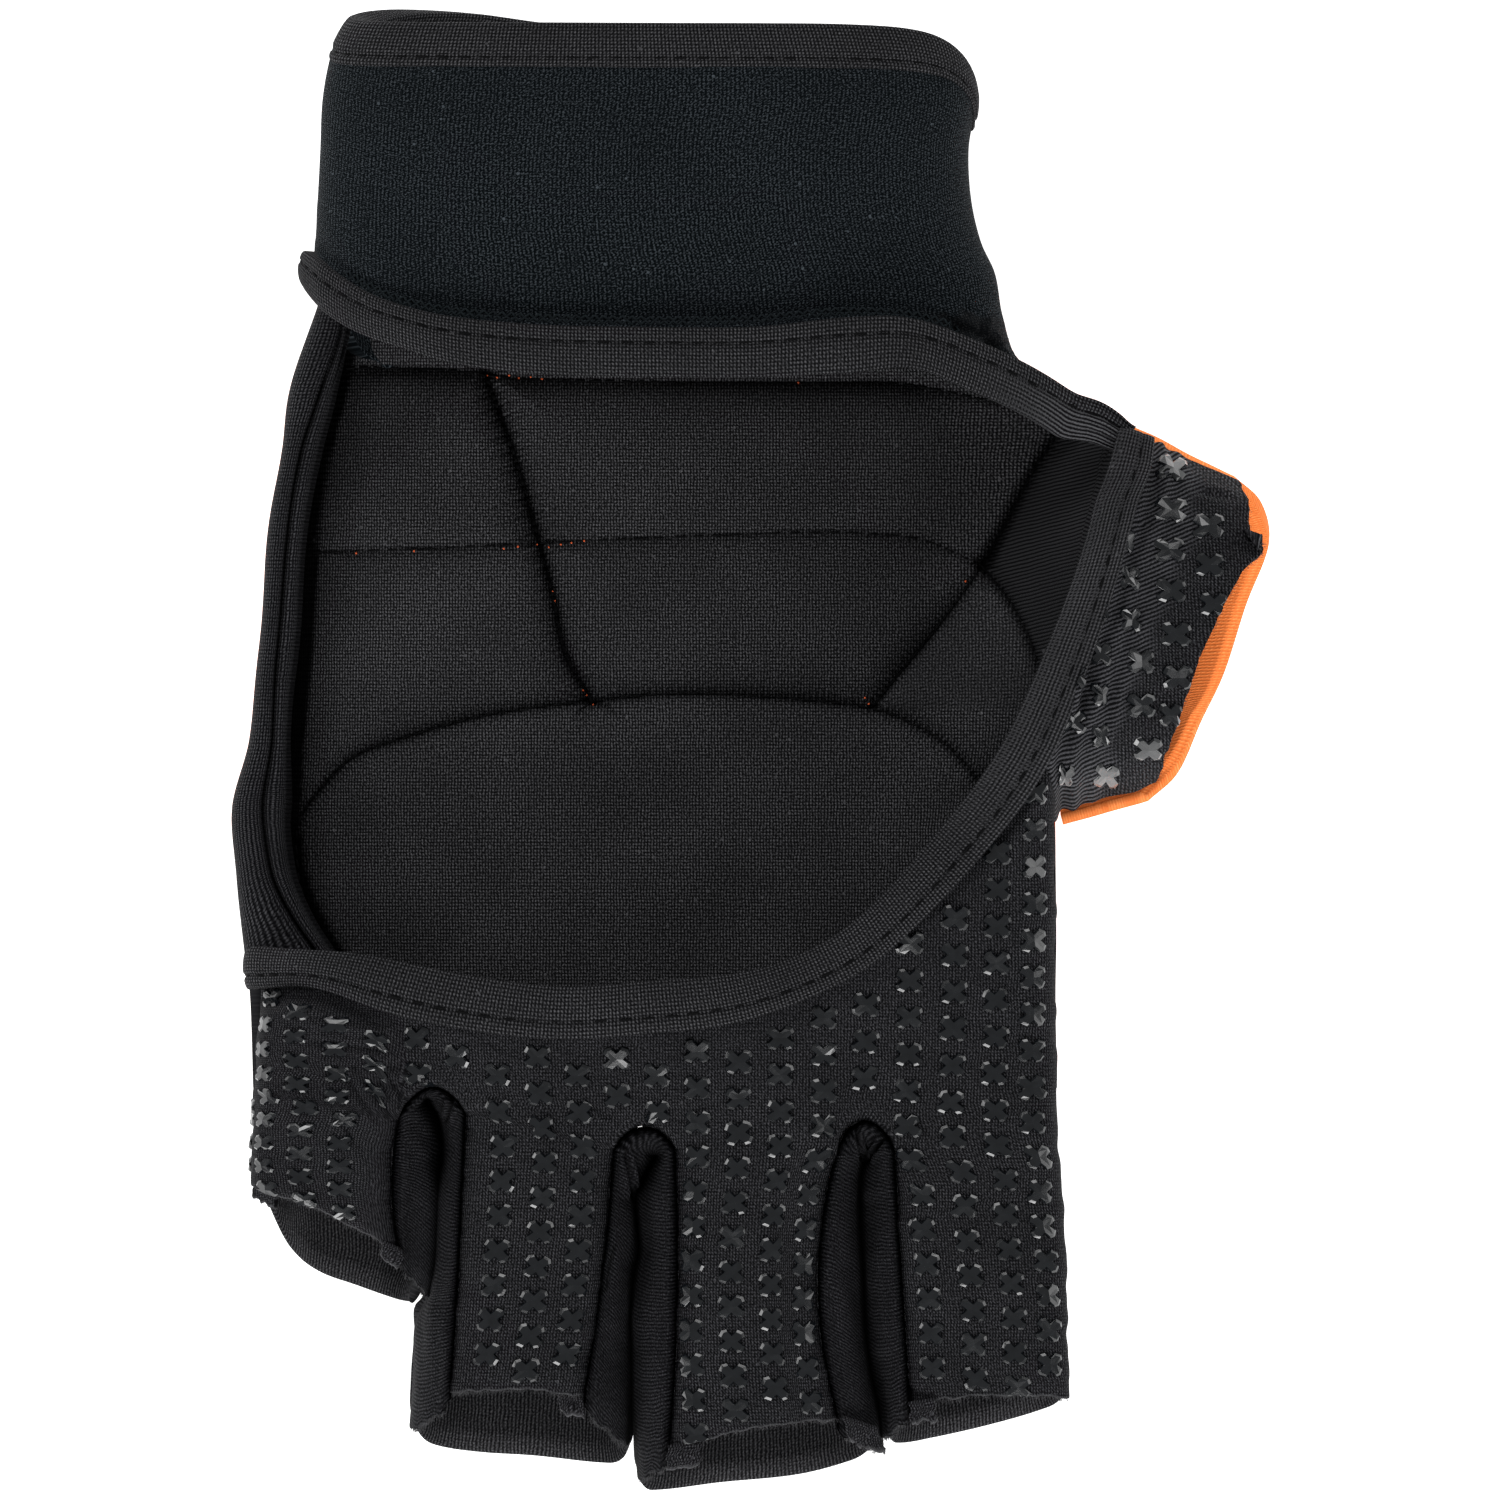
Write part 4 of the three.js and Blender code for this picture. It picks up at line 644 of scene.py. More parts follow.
def makeCuff():
    # even steps of arc round the loop, from the thumb side over the palm side
    dense = np.linspace(360, 0, 1441)
    ring = cuffPoint(dense, np.full(dense.shape, 75.0))
    run = np.concatenate([[0], np.cumsum(np.linalg.norm(np.diff(ring, axis=0), axis=1))])
    angle = np.interp(np.linspace(0, run[-1], cuff["columns"] + 1)[:-1], run, dense)
    top, bottom = along(cuffTop, "angle", "y", angle), cuffBottomY(angle)
    v = np.linspace(0, 1, cuff["rows"])[:, None]
    y = mix(top[None] - cuff["underHem"], bottom[None], v)
    grid = cuffPoint(angle[None] + 0 * v, y)
    outward = normalsOf(grid, True, True)
    x, z = grid[..., 0], grid[..., 2]
    palmSide = smooth(0, 8, z - 16)
    nearTape = smooth(9, 0.5, y - bottom[None])
    swell = cuff["wave"] * ripple(x, y * 0.7 + z, cuff["waveSize"], 5) * smooth(0, 0.15, v)
    # short gathers, a dip along the tape and small pleats across it
    gather = cuff["gather"] * ripple(x + y * 0.75, y * 0.15, 3.1, 9) * nearTape * smooth(-8, -40, x)
    tapeTop = bottom[None] + cuff["underTape"]
    dip = cuff["pull"] * np.exp(-((y - tapeTop - 1.0) / 1.1) ** 2) * palmSide
    pleats = cuff["pleat"] * nearTape * palmSide * (0.5 + 0.5 * np.sin(x * 2 * np.pi / 2.3))
    grid = grid + outward * (swell + gather - dip - pleats)[..., None]
    # at the thumb side, just above the tape, the cloth is crumpled
    crumple = smooth(23, 28, x) * nearTape * smooth(2, 12, grid[..., 2])
    crumpled = (0.9 * ripple(x, y, 2.2, 12) + 0.5 * ripple(x, y + grid[..., 2], 1.3, 13)) * crumple
    patchEdge = 57.9 + 0.6 * ripple(x, y * 0, 2.4, 14)
    patched = smooth(patchEdge + 0.3, patchEdge - 0.2, y) * smooth(21, 25, x) * palmSide
    grid = grid + outward * crumpled[..., None]
    jersey = sheetPiece("cuff_band_jersey", grid, cuff["wall"], True, True, attributes={"coverAndShade": patched})
    finishPiece(jersey, neoprene, "neoprene", "cuff_band")
    # overlocking shows along the tape as two rows of slanting stitches
    overlock = cuff["overlock"]
    edge = np.argmin(np.abs(y - tapeTop - overlock["out"]), axis=0)
    line = grid[edge, np.arange(len(angle))]
    lineUp = outward[edge, np.arange(len(angle))]
    palmRun = np.where((line[:, 2] > 24) & (np.abs(line[:, 0] + 13) < 41))[0]
    for number in range(2):
        row = line[palmRun] + np.array([0, number * overlock["apart"], 0])
        stitchRow("cuff_overlock_" + str(number + 1), row, lineUp[palmRun], overlock["dash"],
                  overlock["pitch"], 0.24, 0.22, tealThread, "neoprene", 0.05, 15 + number,
                  overlock["turn"] * (1 - 2 * number))
    return angle, top


cuffAngles, cuffTopY = makeCuff()


def tapeSection(count, grooveAt, grooveDeep, flat):
    # a folded tape: a flat oval from the inner edge (0) to the outer (1), with a sewn-down groove;
    # across = (1 - cos) / 2, up = sin raised to a power / 2
    turn = np.linspace(0, 2 * np.pi, count, endpoint=False)
    across = 0.5 - 0.5 * np.cos(turn)
    up = 0.5 * signedPower(np.sin(turn), flat)
    away = np.abs(across - grooveAt)
    groove = grooveDeep * np.exp(-(away / 0.05) ** 1.5)
    # mark: painted shade in the groove, on the upper face only
    mark = np.where(up > 0, np.exp(-away / 0.05), 0)
    return across, np.where(up > 0, up - groove, up + groove), mark


def makeCuffTape():
    angle = cuffAngles
    point, below = cuffPoint(angle, cuffTopY), cuffPoint(angle, cuffTopY - cuff["hem"])
    down = below - point
    around = np.roll(point, -1, 0) - np.roll(point, 1, 0)
    inward = np.cross(around, down)
    inward /= np.linalg.norm(inward, axis=1, keepdims=True)
    # the tape stands out from the jersey: proud, and 0.35 for the turned cloth
    out = cuff["proud"] + 0.35
    thick = cuff["wall"] + 2 * cuff["proud"] + 0.5
    across, up, mark = tapeSection(56, cuff["stitchAt"], cuff["groove"], tape["flat"])
    place = np.arange(len(angle))
    ease = 0.09 * ripple(place * 0.37, place * 0.0, 7, 21)
    deep = (up[None] + 0.5) * thick - out + ease[:, None]
    sections = point[:, None] + down[:, None] * across[None, :, None] + inward[:, None] * deep[..., None]
    # painted shade in the groove along the stitches
    marks = {"seam": np.tile(mark * tape["grooveShade"], (len(angle), 1))}
    binding = sweptPiece("cuff_top_tape", sections[::-1], True, marks)
    finishPiece(binding, tapeCloth, "binding_tape", "cuff_top_binding")
    line = point + down * cuff["stitchAt"] - inward * (out - thick * cuff["groove"])
    ring = np.concatenate([line, line[:1]])
    away = np.concatenate([-inward, -inward[:1]])
    stitchRow("cuff_top_stitches", ring, away, 1.7, 2.9, 0.34, 0.26, blackThread, "binding_tape", -0.02)


makeCuffTape()
print("wrist band made")


# Binding tape round the palm opening

# the wrist run narrows and slips under the run that goes down the thumb side
wristTape = {name: values[:12] for name, values in openingTape.items()}
wristTail = table("inX inY outX outY z", [
    (42.6, 41.4, 45.2, 47.0, 24.9), (46.2, 40.6, 49.0, 44.9, 24.2), (49.0, 40.0, 51.4, 43.2, 23.6)])
wristTape = {name: np.concatenate([wristTape[name], wristTail[name]]) for name in wristTape}
handHead = table("inX inY outX outY z", [(49.2, 43.0, 53.9, 41.4, 24.2), (48.0, 39.4, 53.4, 38.4, 25.6)])
handTape = {name: np.concatenate([handHead[name], openingTape[name][14:]]) for name in openingTape}


def tapeFrame(rows, count):
    place = np.linspace(0, len(rows["z"]) - 1, count)
    at = lambda name: along(rows, "index", name, place)
    inner = np.stack([at("inX"), at("inY"), at("z")], 1)
    outer = np.stack([at("outX"), at("outY"), at("z")], 1)
    across = outer - inner
    forward = np.gradient(inner + outer, axis=0)
    up = np.cross(forward, across)
    up /= np.linalg.norm(up, axis=1, keepdims=True)
    return inner, across, up


def makeTapeRun(name, rows, seed, pleated=False):
    count, thick = tape["stepsPerRow"] * (len(rows["z"]) - 1), tape["thick"]
    inner, across, up = tapeFrame(rows, count)
    up[0], up[-1] = up[1], up[-2]
    share, height, mark = tapeSection(tape["sectionPoints"], tape["stitchAt"], tape["groove"], tape["flat"])
    n = np.arange(count)
    sway = ripple(n * 0.5, n * 0.0, 11, seed)[:, None] * 0.03
    swell = 1 + 0.07 * ripple(n * 0.5, n * 0.0, 6, seed + 1)[:, None]
    # both ends are thinner over five steps
    taper = np.minimum(1, np.minimum(n + 1.5, count - n + 0.5) / 5)[:, None] ** 0.5
    crown = 0.10 * np.sin(np.pi * share)[None] * np.sign(height)[None]
    # where it runs steeply down the thumb side its lengthwise rows show
    steep = np.abs(across[:, 0]) / np.linalg.norm(across, axis=1)
    stretched = 0.4 * smooth(0.72, 0.92, steep)[:, None] * np.ones(len(share))
    if pleated:
        # towards the thumb the tape is stretched: its lengthwise ribs show, and a few deeper pleats
        pulled = smooth(0.70, 0.82, n / count)[:, None] * smooth(0.72, 0.62, share)[None]
        stretched = np.maximum(stretched, pulled)
        ribs = np.maximum(0, -np.cos(share * 2 * np.pi * tape["pleats"]))[None] ** 2 * (height > 0.2)[None]
        crown = crown - 0.16 * ribs * smooth(0.76, 0.94, n / count)[:, None]
    sections = (inner[:, None] + across[:, None] * (share[None] + sway)[..., None]
                + up[:, None] * ((height[None] * swell + crown) * thick * taper)[..., None])
    # painted shade in the groove along the stitches
    marks = {"seam": np.tile(mark * tape["grooveShade"], (count, 1)), "patch": stretched}
    piece = sweptPiece(name, sections, False, marks)
    finishPiece(piece, tapeCloth, "binding_tape", "opening_binding")
    line = inner + across * tape["stitchAt"] + up * ((0.5 + 0.10 - tape["groove"]) * thick)
    sewn = slice(6, -6)
    stitchRow(name + "_stitches", line[sewn], up[sewn], 1.75, 3.1, 0.36, 0.30, blackThread, "binding_tape",
              0.03, seed)


makeTapeRun("opening_tape_wrist", wristTape, 31, True)
makeTapeRun("opening_tape_hand", handTape, 41)
print("opening tape made")


# Side band on the little-finger side

band = {"wall": 1.2, "rows": 180, "columns": 60, "gap": 0.8}
bandEdges = table("y outer fold seam top", [
    (60.4, -57.6, -54.2, -53.4, 20.5), (54.8, -59.4, -54.9, -53.9, 19.0),
    (46.8, -61.7, -57.7, -55.8, 18.6), (40.1, -62.7, -60.0, -57.6, 18.4),
    (27.5, -64.6, -61.9, -59.7, 18.0), (13.5, -65.7, -63.1, -60.7, 18.0),
    (1.5, -67.1, -63.9, -61.8, 18.0), (-6.5, -69.1, -65.2, -61.9, 18.4),
    (-10.5, -69.3, -65.0, -62.0, 18.8), (-17.2, -68.6, -63.6, -60.9, 19.4),
    (-22.5, -68.0, -61.0, -58.6, 19.6), (-27.6, -67.6, -57.6, -55.4, 19.6)])
# the section: place over the outer edge (0), fold (1) and seam (2), and height under the top
bandSection = table("q place drop", [
    (0, 0.22, 7.9), (0.08, 0.06, 6.6), (0.16, 0.0, 4.2), (0.27, 0.12, 1.6), (0.4, 0.42, 0.2),
    (0.5, 0.72, 0.2), (0.58, 0.93, 1.1), (0.62, 1.0, 2.6), (0.66, 1.1, 1.4), (0.74, 1.35, 0.7),
    (0.84, 1.7, 1.3), (0.93, 1.98, 3.4), (1.0, 2.2, 7.2)])


def makeSideBand():
    y = np.linspace(bandEdges["y"][0], bandEdges["y"][-1], band["rows"])[:, None]
    q = np.linspace(0, 1, band["columns"])[None]
    at = lambda name: along(bandEdges, "y", name, y)
    place, drop = along(bandSection, "q", "place", q), along(bandSection, "q", "drop", q)
    outer, fold, seam = at("outer"), at("fold"), at("seam")
    x = np.where(place < 1, mix(outer, fold, place), mix(fold, seam, place - 1))
    z = at("top") - drop
    x = x + 0.22 * ripple(y, q * 8, 16, 51)
    z = z + 0.3 * ripple(y, q * 8, 12, 52) * smooth(0, 0.2, q) * smooth(1, 0.9, q)
    grid = np.stack([x, y + 0 * x, z], -1)
    # the stitches lean where the band turns inwards at the lower end
    uv = clothGrid(grid)
    uv[..., 1] += uv[..., 0] * smooth(-4, -20, y) * 1.1
    # painted shade where the cloth folds back on itself and where it meets the liner
    atFold, atLiner = np.exp(-np.abs(q - 0.62) / 0.024), np.exp(-np.maximum(0, 0.93 - q) / 0.02)
    crease = np.maximum(atFold, atLiner * 0.8) + 0 * y
    piece = sheetPiece("side_band_rolls", grid, band["wall"], faceUp=True, uv=uv,
                       attributes={"seam": crease, "run": y + 0 * q})
    finishPiece(piece, sideCloth, "side_rib", "ulnar_side_band")


makeSideBand()
print("side band made")


# Back of the hand: foam pad in orange cloth, and the knitted liner quilted to it

back = {"roundness": 5.0, "crown": 7.6, "side": 4.2, "rim": 2.2, "gap": 0.7, "liner": 1.2, "top": 50.6,
        "end": -45.2, "linerTop": 56, "wave": 0.28, "waveSize": 19, "ribbing": 0.35, "rows": 100,
        "columns": 100, "linerRows": 206, "linerColumns": 190, "padDents": 0.3}
backOutline = table("y left right rimLeft rimRight", [
    (50.6, -60.2, 37, 9.9, 6), (46.8, -61.2, 41.5, 9.9, 6), (42.8, -62.1, 45.6, 9.9, 5),
    (37.5, -62.9, 46.4, 9.9, 3), (27.5, -64.3, 45.2, 9.9, 2), (13.5, -65.6, 43.3, 9.9, 1.6),
    (1.5, -66.9, 41.8, 9.9, 2), (-6.5, -68.7, 41.0, 9.9, 5), (-13.2, -69.0, 40.9, 9.9, 9.9),
    (-25.2, -67.7, 41.0, 9.9, 9.9), (-33.2, -66.9, 40.9, 9.9, 9.9), (-45.2, -66.5, 41.1, 9.9, 9.9)])
# the liner reaches further than the pad at the thumb side and rises to the tape there
linerReach = table("y out up", [
    (56, 0, 6), (50.6, 1.5, 8), (46.8, 3.4, 11), (42.8, 5.4, 13), (37.5, 4, 16), (27.5, 2.2, 18),
    (13.5, 1.6, 17), (1.5, 0.6, 12), (-6.5, 0, 4), (-13, 0, 0)])
# quilting seams as the liner shows them: depth and half width of the groove, puckers, the thread in it
# (length of a stitch, pitch and width), and the course
quiltSeams = [
    {"name": "long_seam", "depth": 3.0, "width": 1.2, "pucker": 0.31, "thread": (1.0, 1.1, 0.62),
     "points": [(-35.6, 50.8), (-35, 48.8), (-31.8, 40.1), (-28.3, 28.1), (-26.3, 20.1), (-24.7, 12.8),
                (-21.1, 6.3)]},
    {"name": "knuckle_seam", "depth": 0.9, "width": 0.8, "pucker": 0.03, "thread": (1.5, 2.6, 0.22),
     "points": [(-61, 26.4), (-40.1, 27.1), (-20.1, 28.1), (6.6, 29.1), (17, 28.9), (23.9, 27.9),
                (30.3, 24.8)]},
    {"name": "arch_seam", "depth": 1.6, "width": 1.1, "pucker": 0.16, "thread": (1.3, 1.9, 0.30),
     "points": [(-56.4, -28.3), (-57.4, -26.3), (-61, -19.2), (-61.8, -14.5), (-61.7, -10.5), (-60.1, -7.2),
                (-54.1, -1.2), (-46.7, 1.6), (-34.7, 4.8), (-20.1, 6.7), (-8.1, 7.6), (6.6, 6.8),
                (17.3, 5.3), (24.6, 1.9), (29.3, -2.3), (33, -7)]},
    {"name": "thumb_seam", "depth": 2.0, "width": 1.1, "pucker": 0.14, "thread": (1.4, 1.6, 0.30),
     "points": [(38.6, 44.5), (37.9, 42.8), (33.7, 31.5), (30.6, 24.8), (25.3, 16.8), (18.3, 8.1),
                (16.4, 5.6)]},
    {"name": "corner_seam", "depth": 1.7, "width": 1.0, "pucker": 0.10, "thread": (1.4, 1.6, 0.30),
     "points": [(30.3, 24.9), (33.7, 20.1), (36.2, 14.8), (37.7, 10.1), (38.4, 6)]},
    {"name": "wrist_seam", "depth": 1.6, "width": 1.1, "pucker": 0.08, "thread": (1.4, 2.0, 0.34),
     "points": [(-60, 50.4), (-54.1, 51.2), (-40.1, 50.8), (-28.1, 49.6), (6.6, 49.1), (22, 48.8),
                (40, 44)]},
]
for seam in quiltSeams:
    seam["line"] = smoothLine(seam["points"], len(seam["points"]) * 5)


def backUnder(u, y):
    # the hand's back as it lies: flat, and turned up at both sides
    left, right = along(backOutline, "y", "left", y), along(backOutline, "y", "right", y)
    x = mix(left, right, u)
    s = np.minimum(np.abs(2 * u - 1), 1)
    rim = np.where(u < 0.5, along(backOutline, "y", "rimLeft", y), along(backOutline, "y", "rimRight", y))
    rise = 1 - (1 - s ** back["roundness"]) ** (1 / back["roundness"])
    return np.stack([x, y + 0 * x, rim * rise], -1)


def quiltDepth(x, y, puckered, marks=None):
    # the deepest groove at each place; marks collects how near a seam is, which gives the painted shade along
    # it, and the place along it
    depth = np.zeros(x.shape)
    for number, seam in enumerate(quiltSeams):
        near, place, _ = seamDistance(x, y, seam["line"])
        if marks is not None:
            closer = np.exp(-np.maximum(0, near - seam["pucker"]) / (0.2 + seam["pucker"] * 3.6))
            marks["run"] = np.where(closer > marks["seam"], place, marks["run"])
            marks["seam"] = np.maximum(marks["seam"], closer)
        groove = 0.65 * np.exp(-near / seam["width"]) + 0.35 * np.exp(-(near / 3.2) ** 1.5)
        depth = np.maximum(depth, seam["depth"] * groove)
        if puckered:
            beat = np.sin(2 * np.pi * place / 2.1 + 2.5 * ripple(place, place * 0, 9, 60 + number))
            beside = np.exp(-np.abs(near - 0.9) / 1.7) * smooth(0.0, 0.5, near)
            depth = depth + 0.5 * seam["pucker"] * beat * beside
    return depth


# the pad is thinner beyond this line
padStep = table("y x", [
    (6, 38.4), (10.1, 37.7), (14.8, 36.2), (20.1, 33.7), (24.8, 30.6), (31.5, 33.7), (44.5, 38.6)])
# where the liner's ribbed thumb field begins, and the corner field whose ribs show less
ribbedFrom = table("y x", [
    (5, 60), (10.1, 37.7), (20.1, 33.7), (24.8, 30.6), (31.5, 33.7), (42.8, 37.9), (47, 39)])
cornerFrom = table("y x", [(4.5, 60), (5.6, 16.6), (8.1, 18.5), (16.8, 25.5), (24.8, 30.8), (26, 60)])


def beyond(line, x, y, soft=0.6):
    # 0 on the palm's side of a line, 1 on its thumb side
    return smooth(-soft, soft, x - np.interp(y, line["y"], line["x"]))


def padDepth(x, y, u):
    # full in the fields, less beyond the thumb seam, thin where the sides turn up
    full = mix(back["crown"], back["side"], beyond(padStep, x, y, 1.2) * smooth(3, 9, y))
    atRim = smooth(0, 0.11, np.minimum(u, 1 - u))
    return mix(back["rim"], full, atRim), atRim


def onSurface(grid, cloth, points):
    # the places on a surface whose cloth coordinates are those of the points, and the normals there
    normal = normalsOf(grid, faceUp=True)
    flat = np.zeros((1, 3))
    lift = np.array([[0, 0, 1.0]])
    at = np.concatenate([layOn(grid, normal, cloth, np.array(point), flat) for point in points])
    above = np.concatenate([layOn(grid, normal, cloth, np.array(point), lift) for point in points])
    return at, above - at


# where the back's orange thread shows through at the seams
linerDots = [
    (-35.2, 50.2), (-33.9, 49.9), (-32.3, 50.2), (-31.0, 49.8), (-29.4, 50.0), (-27.9, 49.7), (6.5, 49.2),
    (-33.0, 26.9), (-31.1, 27.2), (-28.6, 27.5), (-26.9, 27.2), (-25.3, 27.5), (-23.9, 27.7), (-22.2, 28.0),
    (-45.3, 26.6), (-53.6, 26.3), (-22.4, 7.9), (-21.9, 7.3), (-21.4, 6.6), (-21.0, 6.0), (28.6, 22.6),
    (15.4, 7.0), (15.9, 6.2), (-26.4, 21.3), (-26.1, 20.0)]


def linerThreads(liner, cloth):
    at, up = onSurface(liner, cloth, linerDots)
    threadDots("liner_orange_thread", at + up * 0.12, up, 0.36, orangeThread, "liner_knit")
    for number, seam in enumerate(quiltSeams):
        at, up = onSurface(liner, cloth, seam["line"])
        dash, pitch, wide = seam["thread"]
        stitchRow("liner_" + seam["name"], at, up, dash, pitch, wide, 0.2, blackThread, "liner_knit",
                  0.05, 150 + number)


def makeLiner():
    rows = np.linspace(back["linerTop"], -37, back["linerRows"])
    rows = np.concatenate([rows, np.linspace(-39, back["end"], 4)])
    columns = np.linspace(0.045, 0.985, back["linerColumns"])
    columns = np.concatenate([[0, 0.006, 0.014, 0.024, 0.036], columns, [0.993, 1]])
    y, u = np.meshgrid(rows, columns, indexing="ij")
    under = backUnder(u, y)
    x = under[..., 0]
    depth, atRim = padDepth(x, y, u)
    marks = {"seam": np.zeros(x.shape), "run": np.zeros(x.shape)}
    quilt = quiltDepth(x, y, True, marks) * atRim
    wave = back["wave"] * ripple(x, y, back["waveSize"], 71) * atRim
    liner = under - normalsOf(under) * (depth - quilt + wave + back["gap"] + back["liner"])[..., None]
    liner[..., 1] = y
    atThumb = smooth(0.80, 1, u)
    liner[..., 0] += along(linerReach, "y", "out", y) * atThumb
    liner[..., 2] += along(linerReach, "y", "up", y) * atThumb ** 1.5
    uv = np.stack([x, y], -1)
    marks["patch"] = np.maximum(beyond(ribbedFrom, x, y), beyond(cornerFrom, x, y) * back["ribbing"])
    # painted shade where it goes down beside the band, over a wider strip near the wrist, and painted shade
    # between the puckers there
    besideBand = x - along(bandEdges, "y", "seam", y) - band["gap"] + 0.92 - 0.6 * smooth(36, 20, y)
    marks["coverAndShade"] = np.exp(-np.maximum(0, besideBand) / 0.2)
    gathered = 0.85 * np.exp(-np.maximum(0, besideBand) / 0.45)
    marks["run"] = np.where(gathered > marks["seam"], y, marks["run"])
    marks["seam"] = np.maximum(marks["seam"], gathered)
    piece = sheetPiece("back_liner_knit", liner, back["liner"], faceUp=True, uv=uv, attributes=marks)
    linerThreads(liner, uv)
    finishPiece(piece, linerCloth, "liner_knit", "back_liner")


def makePad():
    rows = np.linspace(back["top"], back["end"], back["rows"])
    columns = np.concatenate([[0, 0.01, 0.022], np.linspace(0.036, 0.964, back["columns"]), [0.978, 0.99, 1]])
    y, u = np.meshgrid(rows, columns, indexing="ij")
    under = backUnder(u, y)
    x = under[..., 0]
    depth, atRim = padDepth(x, y, u)
    quilt = quiltDepth(x, y, False) * atRim
    # the seams dent its lower side too, but less
    face = under - normalsOf(under) * (depth - quilt)[..., None]
    dented = under - normalsOf(under) * (quilt * back["padDents"])[..., None]
    face[..., 1] = dented[..., 1] = y
    # the pad's cloth is black down the little-finger edge and towards the index finger
    edging = np.maximum(smooth(-62.5, -63.5, x), smooth(37.5, 38.5, x)) * smooth(-10.5, -12.5, y)
    pad = paddedPiece("back_pad_foam", dented, face, attributes={"coverAndShade": edging})
    finishPiece(pad, orangeCloth, "orange_fabric", "back_pad")


makeLiner()
makePad()
print("back and liner made")


# Palm panel with its finger strips

palm = {"wall": 1.6, "crown": 1.2, "dip": 0.8, "tuck": 2.2, "edgeRoll": 1.5, "palmRows": 88,
        "fingerRows": 120, "archColumns": 9, "stretchRight": 0.965, "leftRound": 5, "rightRound": 9,
        "bunch": 0.5, "fibres": 1100, "indexShift": 1.5, "indexSqueeze": 0.06, "littleShift": 0.8,
        "middleShift": 1.5, "cornerFrom": 38.6, "cornerSlope": 3, "rollWidth": 0.9, "leftWidth": 19,
        "rightWidth": 21}
seamHeight = 11.2
# seams and slit edges: x, y and z at the tape (top), the finger roots (fork) and the cut end (end)
palmLines = {
    "leftSeam": {"topX": -65.1, "forkX": -66.2, "midX": -66.5, "endX": -66.7, "forkY": -45.9, "endY": -58.3,
                 "topZ": seamHeight, "forkZ": seamHeight, "endZ": seamHeight},
    "littleRight": {"topX": -46.1, "forkX": -46.9, "midX": -47.8, "endX": -47, "forkY": -49.2, "endY": -66.8,
                    "topZ": 28.2, "forkZ": 26, "endZ": 22},
    "archLittle": {"topX": -41.8, "forkX": -41.8, "forkY": -44.8, "topZ": 29.6, "forkZ": 25.6},
    "ringLeft": {"topX": -37.4, "forkX": -37.8, "midX": -38.6, "endX": -39.9, "forkY": -48.4, "endY": -85.7,
                 "topZ": 30.5, "forkZ": 27, "endZ": 23},
    "ringRight": {"topX": -19.6, "forkX": -18.3, "midX": -19.8, "endX": -22.3, "forkY": -53.2, "endY": -86.1,
                  "topZ": 32.4, "forkZ": 27.4, "endZ": 23},
    "archRing": {"topX": -15.8, "forkX": -13.7, "forkY": -50.1, "topZ": 32.6, "forkZ": 26.8},
    "middleLeft": {"topX": -11.4, "forkX": -9.9, "midX": -9.6, "endX": -10.7, "forkY": -53.2, "endY": -93.2,
                   "topZ": 32.8, "forkZ": 27.4, "endZ": 23.4},
    "middleRight": {"topX": 12.6, "forkX": 11.3, "midX": 9, "endX": 11.7, "forkY": -54, "endY": -89.2,
                    "topZ": 33.2, "forkZ": 28, "endZ": 23.4},
    "archMiddle": {"topX": 15.8, "forkX": 15.2, "forkY": -49.2, "topZ": 33.2, "forkZ": 27.4},
    "indexLeft": {"topX": 19.4, "forkX": 19.3, "midX": 20.3, "endX": 21.4, "forkY": -53.4, "endY": -87.2,
                  "topZ": 33.2, "forkZ": 28, "endZ": 23.2},
    "rightSeam": {"topX": 40.8, "forkX": 41, "midX": 42.2, "endX": 42.7, "forkY": -47.9, "endY": -86.5,
                  "topZ": seamHeight, "forkZ": seamHeight, "endZ": seamHeight},
}
# the strips with their columns (s runs over a strip), and the arch to the right of each
strips = [
    {"left": "leftSeam", "right": "littleRight", "arch": "archLittle", "columns": 52},
    {"left": "ringLeft", "right": "ringRight", "arch": "archRing", "columns": 40},
    {"left": "middleLeft", "right": "middleRight", "arch": "archMiddle", "columns": 46},
    {"left": "indexLeft", "right": "rightSeam", "arch": None, "columns": 52},
]
# folds in the cloth: a line from one point to another, its half width and depth
palmFolds = table("fromX fromY toX toY width depth", [
    (-62, -35.2, -47, -36.8, 0.55, 0.35), (-61, -38.6, -46, -40.2, 0.5, 0.35),
    (-57, -42.4, -44, -42.0, 0.5, 0.3), (-55.5, -41.0, -48.5, -51.0, 0.5, 0.45),
    (-53.0, -41.5, -46.8, -50.0, 0.45, 0.4), (-58, -44.0, -50.0, -56.0, 0.5, 0.35),
    (-50.5, -40.5, -45.2, -47.5, 0.45, 0.4), (-22.0, -46.5, -16.5, -50.5, 0.5, 0.3),
    (-10.5, -50.0, -4.0, -46.0, 0.6, 0.25), (12.0, -47.0, 9.0, -52.0, 0.5, 0.25),
    (20.5, -48.0, 25.0, -52.0, 0.5, 0.25)])


def tapeYAt(x):
    return along({"x": -underRows["outX"], "y": underRows["outY"]}, "x", "y", -np.asarray(x, float))


def cornerDrop(x):
    # towards the index seam the cloth's upper edge runs down beside the tape
    return np.maximum(0, x - palm["cornerFrom"]) * palm["cornerSlope"]


